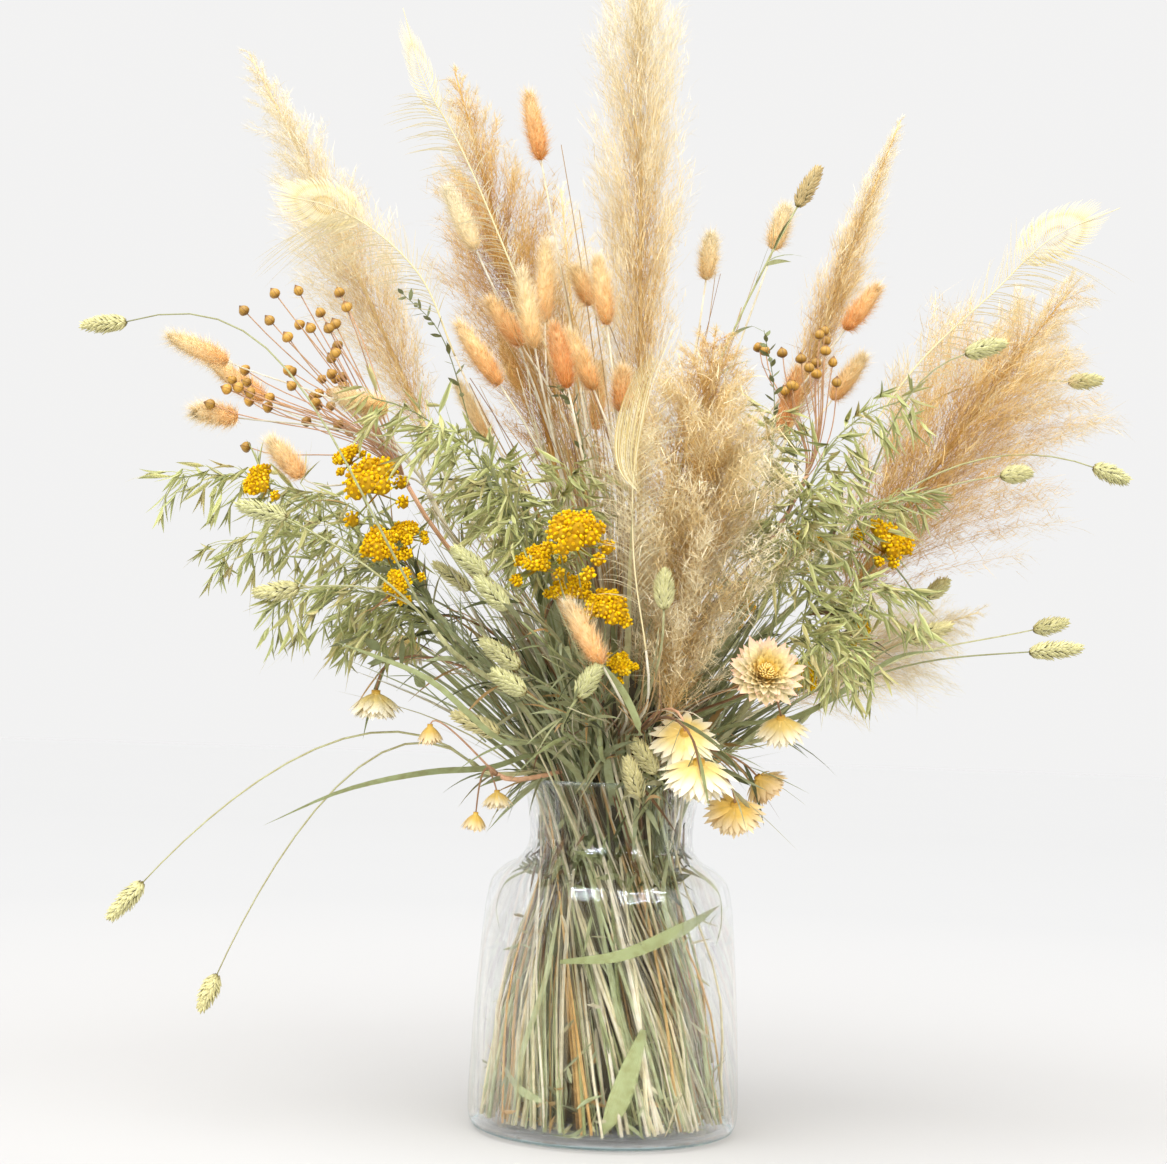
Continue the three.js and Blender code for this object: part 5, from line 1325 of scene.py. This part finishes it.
def add_barbs(skin, feather, hand, rng):
    """The loose barbs on one hand of a feather, below its eye."""
    shaft, full, (long, wide) = feather["shaft"], feather["full"], feather["eye"]
    low = EYE_AT - long / feather["length"]
    count = int(mix(36, 70, full))
    t = (np.arange(count) + rng.random(count)) / count * (low - 0.12) + 0.12
    roots = spline(shaft, t)
    forward = unit(spline(shaft, np.minimum(t + 0.01, 1)) - spline(shaft, t - 0.01))
    side = unit(np.cross(forward, FRONT)) * hand
    spans = rng.uniform(34, 68, count) * np.clip(0.45 + t * 1.2, 0, 1) * mix(0.3, 1, wide / WIDEST_EYE)
    ways = unit(side * 0.7 + forward * 0.9 + FRONT * rng.normal(0, 0.14, count)[:, None])
    ways = unit(ways + rng.normal(0, 0.1, (count, 3)))
    lines = arcs(roots, ways, spans, forward * 0.1 + side * 0.05 - UP * 0.5, 10)
    widths = mix(0.22, 0.34, full) * rng.uniform(0.7, 1.3, count)[:, None] * taper(10, 0.2, 2)
    add_blades(skin, lines, unit(forward + FRONT * 0.8), widths, rng.random(count), 1.0)


def add_eye(skin, feather, hand, rng):
    """One hand of a feather's eye: barbs that fan out and close round it, toned in rings."""
    shaft, full, (long, wide) = feather["shaft"], feather["full"], feather["eye"]
    count = int((6 + wide * 2.3) * full)
    q = (np.arange(count) + 0.5) / count
    heart = spline(shaft, np.full(count, EYE_AT))
    ahead = unit(spline(shaft, np.full(count, EYE_AT + 0.02)) - spline(shaft, np.full(count, EYE_AT - 0.02)))
    side = unit(np.cross(ahead, FRONT)) * hand
    start = mix(-1.25, 0.7, q**0.9)
    angle = np.radians(mix(140, 2, q))
    frill = rng.uniform(0.95, 1.12, count) * mix(1, 1.35, np.cos(angle).clip(0) ** 4)
    s = shares(10)
    x = (np.sin(angle) * frill)[:, None] * (1 - (1 - s) ** 1.6)
    y = start[:, None] + (np.cos(angle) * frill - start)[:, None] * s**1.3
    bowl = 0.3 * (x**2)[..., None] * wide + rng.normal(0, 0.03, (count, 1, 1)) * wide * s[:, None]
    reach = ahead[:, None] * (y * long * 1.15)[..., None]
    lines = heart[:, None] + side[:, None] * (x * wide)[..., None] + reach - FRONT * bowl
    ring = np.clip(np.sqrt(x**2 + (y * 0.92 + 0.12) ** 2), 0, 1)
    widths = mix(0.2, 0.62, np.sin(np.pi * np.minimum(1, s * 1.15)).clip(0)) * wide / WIDEST_EYE * full
    across = unit(np.cross(lines[:, -1] - lines[:, 0], FRONT))
    add_blades(skin, lines, across, widths, rng.random(count), ring)


def add_curl(skin, rng):
    """Long barbs that curl together round the far edge of a feather."""
    places, depth, most = CURL
    rows = 16
    for _ in range(CURL_BARBS):
        inward = rng.uniform(0, 1) ** 1.6
        low, high = rng.uniform(0, 0.2), rng.uniform(0.75, 1)
        bulge = most * inward * np.sin(math.pi * shares(len(places)))
        line = [seen((u + push, v), depth + rng.normal(0, 2)) for (u, v), push in zip(places, bulge)]
        line = spline(line, np.linspace(low, high, rows))[None]
        widths = rng.uniform(0.25, 0.5) * swell_along(rows, 0.3, 0.5)
        across = FRONT[None] * 0.4 + UP[None] * 0.2 + 0.7
        add_blades(skin, line, across, widths, rng.uniform(0, 1), rng.choice([0.2, 0.3, 0.6]))


# Stems


def straw_lines(count, rows, rng, low, high):
    """Nearly straight straws, spread over the vase's floor, that lean to the left and cross in its neck."""
    (foot_height, foot_reach), (neck_height, neck_reach) = STRAW_FOOT, STRAW_NECK
    share = rng.uniform(0.5, 1, count) ** 0.4
    foot_turn = np.arange(count) * GOLDEN_ANGLE + rng.normal(0, 0.1, count)
    neck_turn = foot_turn + rng.normal(-1.2, 0.5, count)
    foot = outward_at(foot_turn) * (share * rng.uniform(0.96, 1.06, count) * foot_reach)[:, None]
    packed = np.minimum(share * rng.uniform(0.6, 1.05, count), 1)
    neck = outward_at(neck_turn) * (packed * neck_reach)[:, None]
    z = mix(low[:, None], high[:, None], shares(rows))[..., None]
    up = (z - foot_height) / (neck_height - foot_height)
    lines = foot[:, None] * (1 - up) + neck[:, None] * up
    sideways = np.abs(np.cos(foot_turn))[:, None, None]
    bulge = 1 + 0.2 * sideways * np.sin(np.pi * up.clip(0, 1)) ** 2 * (up < 1)
    return lines * bulge + UP * z, share


def inside_glass(lines, room):
    """Keeps lines inside the vase's inner wall, by the room that their thickness needs."""
    most = np.interp(lines[..., 2], *zip(*INNER_WALL))[..., None] - room
    flat = lines * (1, 1, 0)
    radius = np.linalg.norm(flat, axis=-1, keepdims=True)
    placed = flat * np.minimum(1, most / np.maximum(radius, 1)) + lines * (0, 0, 1)
    placed[..., 2] = np.maximum(placed[..., 2], VASE["floor"] + 1.2)
    return placed


def add_straws(skin, rng):
    """The bunch inside the vase: flat and round straws over a dark core of painted shade, with ragged feet."""
    rows = 9
    for count, thin, thick, flat, odds in STRAWS:
        low = np.where(rng.random(count) < 0.7, rng.uniform(9, 12, count), rng.uniform(14, 90, count))
        lines, share = straw_lines(count, rows, rng, low, rng.uniform(214, 300, count))
        wave = np.sin(lines[..., 2] * 0.03 + rng.uniform(0, 6, (count, 1)))[..., None]
        lines = lines + wave * rng.normal(0, 1.2, (count, 1, 3)) * (1, 1, 0)
        radii = rng.uniform(thin, thick, count)[:, None] * mix(1, 0.65, shares(rows))
        lines = inside_glass(lines, radii[..., None] * 0.8 + 0.4 + (1 - share)[:, None, None] * 22)
        # Straws deep in the bunch are painted darker by their tones and brightness, and the outer ones brighter:
        # painted shade within the bunch
        outer = ((share - 0.76) / 0.24).clip(0, 1)
        chance = np.clip(rng.uniform(0.3, 1.3, count) * mix(0.2, 1.4, outer), 0, 1)
        shaded_tones = rng.choice(SHADED_STRAW_TONES, count)
        tone = np.where(outer < 0.3, shaded_tones, rng.choice(STRAW_TONES, count, p=odds))
        add_tubes(skin, lines, radii, 6, chance, tone, flat)
    add_shade_core(skin)
    for row in SCRAPS:
        add_scraps(skin, rng, *row)
    for row in GLASS_LEAVES:
        add_glass_leaf(skin, *row)


def add_shade_core(skin):
    """A dark ribbed core that shows only between the straws: painted shade deep in the bunch."""
    z = np.linspace(SHADE_CORE[0][0], SHADE_CORE[-1][0], 20)
    wide = np.interp(z, *zip(*SHADE_CORE))
    ribs = 1 + 0.05 * np.cos(np.arange(48) * np.pi)
    add_tubes(skin, (UP * z[:, None])[None], (wide[:, None] * ribs)[None], 48, 0.2, 0.97)


def add_scraps(skin, rng, count, low, high, near, far, half, most, tones):
    """Crumpled dark leaves in the neck, or pale scraps and husks between the straws."""
    outward = outward_at(rng.uniform(0, TURN, count))
    roots = outward * rng.uniform(near, far, count)[:, None] + UP * rng.uniform(low, high, count)[:, None]
    ways = unit(rng.normal(0, 1, (count, 3)) * (1, 1, 1.5))
    lines = arcs(roots, ways, rng.uniform(10, 30, count), unit(rng.normal(0, 1, (count, 3))) * 0.35, 7)
    widths = half * rng.uniform(0.3, 1, count)[:, None] * swell_along(7, 0.3, 0.4)
    chance, tone = rng.uniform(0, most, count), rng.choice(tones, count)
    across = unit(np.cross(ways, outward))
    add_blades(skin, inside_glass(lines, 2.6), across, widths, chance, tone, lift=-outward * 0.5)


def add_glass_leaf(skin, places, half, tone):
    """A broad leaf that lies against the inside of the vase's wall."""
    line = spline([against_glass(place) for place in places], shares(24))
    outward = unit(line * (1, 1, 0))[None]
    across = unit(np.cross(unit(np.gradient(line, axis=0)), outward))
    add_blades(skin, line[None], across, half * swell_along(24, 0.3, 0.6), 0.8, tone, lift=-outward * 0.2)


def against_glass(place):
    """The point of a pixel that lies just inside the front of the vase's wall."""
    depth = -80.0
    for _ in range(6):
        point = seen(place, depth)
        wall = float(np.interp(point[2], *zip(*FRONT_WALL))) - 2.5
        depth = -math.sqrt(max(4, wall**2 - point[0] ** 2))
    return inside_glass(seen(place, depth), 3.0)


def add_grass(skin, rng):
    """Long narrow grass leaves that fan out of the neck, and short darker ones through the lower bunch."""
    for count, reach, dark, rows in GRASS:
        angle = rng.uniform(0, TURN, count)
        share = np.sqrt(rng.uniform(0.05, 1, count))
        flat = outward_at(angle)
        rise = rng.random(count) * (0.3 + dark * 2)
        roots = flat * (share * (40 + 40 * rise))[:, None] + UP * (225 + rise * 75)[:, None]
        lean = share * rng.uniform(0.35, 1.1, count)
        ways = unit(flat * lean[:, None] + UP + rng.normal(0, 0.14, (count, 3)))
        lengths = rng.uniform(*reach, count) * mix(1.1, 0.75, lean)
        outer, sag = rng.uniform(0, 0.35, count), rng.uniform(0, 0.3, count) * lean
        lines = arcs(roots, ways, lengths, flat * outer[:, None] - UP * sag[:, None], rows)
        wave = np.sin(np.linspace(0, 5, rows) + rng.uniform(0, 6, (count, 1)))[..., None]
        lines = lines + wave * rng.normal(0, 1.5, (count, 1, 3))
        across = unit(np.cross(ways, flat + rng.normal(0, 0.5, flat.shape)))
        widths = rng.choice([0.7, 1.1, 1.6, 2.3, 3.1], count)[:, None] * swell_along(rows, 0.5, 0.35)
        odds = [0.18, 0.16, 0.18, 0.12, 0.12, 0.07, 0.05, 0.02 + dark * 0.1, 0.1 - dark * 0.1]
        tone = rng.choice(GRASS_TONES, count, p=odds)
        add_open_blades(skin, lines, across, widths, rng.uniform(0, 1 - dark, count), tone, flat * 0.4)


def add_open_blades(skin, lines, across, widths, chance, tone, lift):
    """Blades, but for those that would stand in front of the front plume."""
    x, y, z = np.moveaxis(lines, -1, 0)
    (left, right), front, foot = OPEN_ROOM
    kept = ~np.any((x > left) & (x < right) & (y < front) & (z > foot), axis=1)
    if kept.any():
        shapes = (shape[kept] for shape in (lines, across, widths, chance, tone))
        add_blades(skin, *shapes, lift=lift[kept])


def add_leaves_along(skin, control, count, low, high, rng):
    """Narrow leaves that stand off a stalk."""
    rows = 6
    t = rng.uniform(low, high, count)
    roots, forward = bezier(control, t), bezier_way(control, t)
    side = unit(np.cross(forward, rng.normal(0, 1, (count, 3))))
    ways = unit(forward + side * rng.uniform(0.25, 0.8, (count, 1)))
    lines = arcs(roots, ways, rng.uniform(16, 48, count), side * 0.2 - UP * 0.3, rows)
    across = unit(np.cross(ways, side + rng.normal(0, 0.4, side.shape)))
    widths = rng.choice([0.6, 0.9, 1.3, 1.9], count)[:, None] * swell_along(rows, 0.45, 0.35)
    tone = rng.choice(STALK_LEAF_TONES, count, p=STALK_LEAF_ODDS)
    add_open_blades(skin, lines, across, widths, rng.uniform(0, 0.8, count), tone, side * 0.3)


def add_sprigs(skin, rng):
    """Thin stalks with small dark oval leaves."""
    rows = 30
    for path, depth, leaf, many in SPRIGS:
        places = [seen(place, depth) for place in path]
        line = spline(places, shares(rows))
        add_tubes(skin, line[None], 0.6 * taper(rows, 0.4), 5, 0.2, 0.12)
        t = np.linspace(0.45, 0.99, many)
        forward = unit(spline(line, np.minimum(t + 0.02, 1)) - spline(line, t - 0.02))
        out = around(forward, np.arange(many) * GOLDEN_ANGLE)
        ways = unit(out + forward * 0.9)
        lines = arcs(spline(places, t), ways, leaf * rng.uniform(0.7, 1.1, many), out * 0.2, 6)
        across = unit(np.cross(ways, out + rng.normal(0, 0.3, out.shape)))
        widths = leaf * 0.2 * swell_along(6, 0.3, 0.45)
        add_blades(skin, lines, across, widths, rng.uniform(0, 0.25, many), 0.14, lift=out * 0.3)


def add_long_leaves(skin):
    """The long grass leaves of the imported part, as thin bent blades."""
    rows = 24
    for k, leaf in enumerate(layout.leaves):
        line = spline(leaf["points"], shares(rows))
        across = unit(np.cross(unit(np.gradient(line, axis=0)), FRONT + UP * 0.5))[None]
        widths = leaf["width"] * 0.6 * swell_along(rows, 0.35, 0.55)
        add_blades(skin, line[None], across, widths, 0.4 + 0.1 * k, 0.12, lift=-FRONT[None] * 0.35)


def add_stalks(skin, rng):
    """A stalk to each head by its clear way, with thinner companions beside it."""
    rows = 12
    for stalk in layout.stalks:
        line = bezier(stalk["control"], shares(rows))[None]
        radii = mix(stalk["thick"], stalk["thin"], shares(rows))[None] * 0.85
        tone = np.clip(KIND_TONES[stalk["kind"]] + rng.normal(0, 0.03), 0, 1)
        add_tubes(skin, line, radii, 6, rng.uniform(0.2, 1), tone)
    tall = [stalk for stalk in layout.stalks if stalk["kind"] in TALL_STALKS]
    plain = layout.stalks * COMPANIONS
    lines, radii, tones = [], [], []
    for k, stalk in enumerate(plain + tall * GOLDEN_COMPANIONS):
        shift = rng.normal(0, 1, (4, 3)) * np.array([[7], [10], [13], [13]]) * (1, 1, 0.3)
        golden = k >= len(plain)
        reach = rng.uniform(0.45, 0.97) + golden * 0.08
        lines.append(bezier(np.array(stalk["control"]) + shift, np.linspace(0, reach, rows)))
        radii.append(rng.uniform(0.45, 1.0) * taper(rows, 0.4))
        own = rng.choice(GOLDEN_TONES) if golden else KIND_TONES[stalk["kind"]] * 0.6 + rng.uniform(0, 0.3)
        tones.append(min(1, own))
    chance = rng.random(len(lines)) * np.where(np.arange(len(lines)) < len(plain), 1, 0.6)
    add_tubes(skin, np.array(lines), np.array(radii), 5, chance, np.array(tones))


def add_leaves(skin):
    """All the leaves of the stems node."""
    add_grass(skin, draws("grass"))
    add_sprigs(skin, draws("sprigs"))
    add_long_leaves(skin)
    rng = draws("stalk leaves")
    for stalk in layout.stalks:
        if stalk["kind"] in LEAFY_STALKS:
            add_leaves_along(skin, stalk["control"], 14, 0.35, 0.95, rng)


# The pieces


def soften(outline):
    """An outline with its bends rounded by a spline, and its flat foot kept."""
    points = np.array([(r, z, 0) for r, z in outline], float)
    flat = 2 if outline[0][0] == 0 else 0
    smooth = spline(points[flat:], shares((len(points) - flat) * 5))
    return [*outline[:flat], *[(r, z) for r, z, _ in smooth]]


def vase_outline():
    """The vase's section as radii and heights, from the middle of its foot round its rim to its floor."""
    base, shoulder, neck, rim, wall, floor, height, heel = (
        VASE[key] for key in ("base", "shoulder", "neck", "rim", "wall", "floor", "height", "heel")
    )
    outer = [
        (0, 0), (base - heel, 0), (base - 2.5, 3), (base, heel), (base - 0.5, 60),
        ((base + shoulder) / 2, 120), (shoulder, 162), (shoulder - 4, 176), (shoulder - 13, 184.5),
        (neck + 6, 190), (neck + 0.6, 199), (neck, 214), (rim, height - 1.2),
    ]
    inner = [
        (rim - wall, height - 0.6), (neck - wall, 213), (neck + 0.6 - wall, 198), (shoulder - 15, 181.5),
        (shoulder - wall - 1, 168), (base - 0.5 - wall, 60), (base - wall - 0.5, floor + 5),
        (base - wall - 6, floor), (0, floor),
    ]
    return [*soften(outer), (rim - wall / 2, height), *soften(inner)]


def make_vase(material):
    """The vase turned as one smooth skin, outside and in."""
    turns = 128
    angle = np.arange(turns) * TURN / turns
    outline = vase_outline()[1:-1]
    body = np.array([[(r * math.cos(a), r * math.sin(a), z) for a in angle] for r, z in outline])
    points = np.concatenate([body.reshape(-1, 3), [[0, 0, 0], [0, 0, VASE["floor"]]]])
    skin = Skin()
    skin.add(points, closed_tube(len(body), turns), looks_of(points.shape[:1], 0, 0, 0, 0))
    return skin.piece("glass_vase", material, "glass", "vase")


def dress(name, kind, node, add, *inputs):
    """Makes a piece with one kind's look that stands for a node, and gives what its adder gives."""
    skin = Skin()
    given = add(skin, *inputs)
    skin.piece(name, *LOOKS[kind], node)
    return given


def add_heads(skin, node, kind, rng):
    for head in layout.heads[node]:
        ADDERS[kind](skin, head, rng)


def add_panicles(skin, node, rng):
    for control, head in zip(layout.branches[node], layout.heads[node]):
        add_oats(skin, control, head, rng)


def bare_branches(node, kind):
    """The branches of a spray, from its fork to its heads."""
    skin = Skin()
    rng = draws(node + " branches")
    spray = SPRAYS[node]
    rows = 14
    fork = np.stack([spray["root"] + spray["way"] * rise for rise in (0, 5, 9)])
    add_tubes(skin, fork[None], np.array([[FORK_STALK, FORK_STALK * 0.9, 1.0]]), 8, 0.5, KIND_TONES[kind])
    for control in layout.branches[node]:
        line = bezier(control, shares(rows))
        radii = BRANCH[kind] * taper(rows, 0.55)
        tone = np.clip(KIND_TONES[kind] + rng.normal(0, 0.04), 0, 1)
        add_tubes(skin, line[None], radii[None] * 0.9, 5, rng.uniform(0.2, 1), tone)
    return skin


def make_spray(node, kind):
    """A spray's heads as one piece, and its branches, with any leaves, as another."""
    branches = bare_branches(node, kind)
    rng = draws(node)
    if kind == "flax":
        ways, count = layout.branches[node], SPRAYS[node]["capsules"]
        lines = dress(f"{node}_capsules", kind, node, add_flax, ways, count, rng)
        chance, tone = rng.uniform(0.2, 1, count), KIND_TONES[kind] + rng.normal(0, 0.02, count)
        add_tubes(branches, lines, 0.42, 4, chance, tone)
    elif kind == "oats":
        dress(f"{node}_spikelets", kind, node, add_panicles, node, rng)
    else:
        dress(f"{node}_heads", kind, node, add_heads, node, kind, rng)
    if kind in LEAFY_SPRAYS:
        rng = draws(f"{node} leaves")
        for control in layout.branches[node]:
            add_leaves_along(branches, control, 10, 0.0, 0.7, rng)
    branches.piece(f"{node}_branches", *LOOKS["stem"], node)


def add_whole_feather(skin, k, feather):
    add_feather(skin, feather, draws(f"feather {k}"))
    if k == CURLED:
        add_curl(skin, draws("curl"))


LOOKS = dict(
    stem=(stem_paint(), "stem"), bunny=(fur_paint(), "bunny_tail"), canary=(canary_paint(), "canary_grass"),
    strawflower=(bract_paint(), "strawflower"), everlasting=(everlasting_paint(), "everlasting"),
    oats=(oat_paint(), "oats"), flax=(flax_paint(), "flax"), feather=(feather_paint(), "feather"),
    pampas=(plume_paint(), "pampas"),
)
ADDERS = dict(
    bunny=add_bunny_tail, canary=add_canary_head, strawflower=add_strawflower, everlasting=add_everlasting,
)

vase = make_vase(glass_paint())
for kind, group, ending, rows in (
    ("bunny", "bunny_tail", "fur", BUNNY_TAILS), ("strawflower", "strawflower", "bracts", STRAWFLOWERS),
):
    for k in range(len(rows)):
        node = f"{group}_{k + 1}"
        dress(f"{node}_{ending}", kind, node, add_heads, node, kind, draws(node))
for node, spray in SPRAYS.items():
    make_spray(node, spray["kind"])
for k, (tip, foot, tip_depth, foot_depth, *own) in enumerate(PLUMES):
    line = plume_line(tip, foot, tip_depth, foot_depth)
    dress(f"pampas_{k + 1}_hair", "pampas", f"pampas_{k + 1}", add_plume, line, *own, draws(f"pampas {k}"))
for k in range(len(FEATHERS)):
    node = f"feather_{k + 1}"
    dress(f"{node}_vane", "feather", node, add_whole_feather, k, layout.heads[node][0])
dress("stems_canary_heads", "canary", "stems", add_heads, "stems", "canary", draws("stems"))
dress("stems_stalks", "stem", "stems", add_stalks, draws("stalks"))
dress("stems_straws", "stem", "stems", add_straws, draws("straws"))
dress("stems_leaves", "stem", "stems", add_leaves)

# The studio: a pale floor that runs out into a pale world, broad soft suns, and windows for the glass


def make_floor():
    bpy.ops.mesh.primitive_circle_add(vertices=96, radius=30, fill_type="NGON", location=(0, 0, -0.0005))
    floor = bpy.context.object
    floor.name = "studio_floor"
    paint = Paint("studio_floor", roughness=0.9, specular=0.05)
    away = paint.add("ShaderNodeVectorMath", [(0, paint.place)], operation="LENGTH").outputs["Value"]
    # Paler near the vase: a painted pool of light that lifts the bunch's shadow on the floor; greyer further
    # out, where the floor runs into the world
    greys_lit_near_vase = [(0.02, "cbcac9"), (0.1, "c3c2c1"), (0.4, "bbbbbb"), (1, "b9b9b9")]
    base = paint.ramp(paint.times(away, 0.2), *greys_lit_near_vase)
    floor.data.materials.append(paint.finish(paint.vary(base, 0.01, paint.noise(1.5, 1))))


def make_world():
    world = bpy.data.worlds.new("studio")
    bpy.context.scene.world = world
    world.use_nodes = True
    sky = world.node_tree.nodes["Background"]
    sky.inputs["Color"].default_value = (0.893, 0.89, 0.888, 1)
    sky.inputs["Strength"].default_value = 1.0


def make_lamp(name, kind, way, energy):
    """A light that shines along a way."""
    light = bpy.data.lights.new(name, kind)
    light.energy = energy
    lamp = bpy.data.objects.new(name, light)
    lamp.rotation_euler = Vector(way).to_track_quat("-Z", "Y").to_euler()
    bpy.context.collection.objects.link(lamp)
    return lamp


def make_windows(vase):
    """Cool windows that light the glass alone, for its glints. Diffuse light ignores glass and windows."""
    lit = bpy.data.collections.new("lit_by_windows")
    lit.objects.link(vase)
    vase.visible_diffuse = False
    for name, across, breadth in WINDOWS:
        lamp = make_lamp(name, "AREA", (-across, 1.3, -1.1), WINDOW_POWER * breadth)
        lamp.data.shape = "RECTANGLE"
        lamp.data.size, lamp.data.size_y = breadth, WINDOW_HEIGHT
        lamp.data.color = (0.86, 0.93, 1)
        lamp.location = (across, -1.3, 1.3)
        lamp.light_linking.receiver_collection = lit
        lamp.visible_diffuse = False
        lamp.visible_transmission = False


def make_suns():
    for name, way, spread, strength in SUNS:
        make_lamp(name, "SUN", way, strength).data.angle = math.radians(spread)


def make_camera():
    """A camera at the photograph's place, with its framing."""
    ahead, right, top = camera_axes()
    lens = bpy.data.cameras.new("camera")
    lens.sensor_width = 36
    lens.sensor_fit = "HORIZONTAL"
    lens.lens = VIEW["focal"] / VIEW["across"] * lens.sensor_width
    lens.clip_end = 100
    camera = bpy.data.objects.new("camera", lens)
    turned = Matrix([right, top, -ahead]).transposed()
    camera.matrix_world = Matrix.Translation(Vector(VIEW["eye"]) / 1000) @ turned.to_4x4()
    bpy.context.collection.objects.link(camera)
    bpy.context.scene.camera = camera


make_floor()
make_world()
make_windows(vase)
make_suns()
make_camera()
bpy.context.scene.view_settings.view_transform = "Standard"
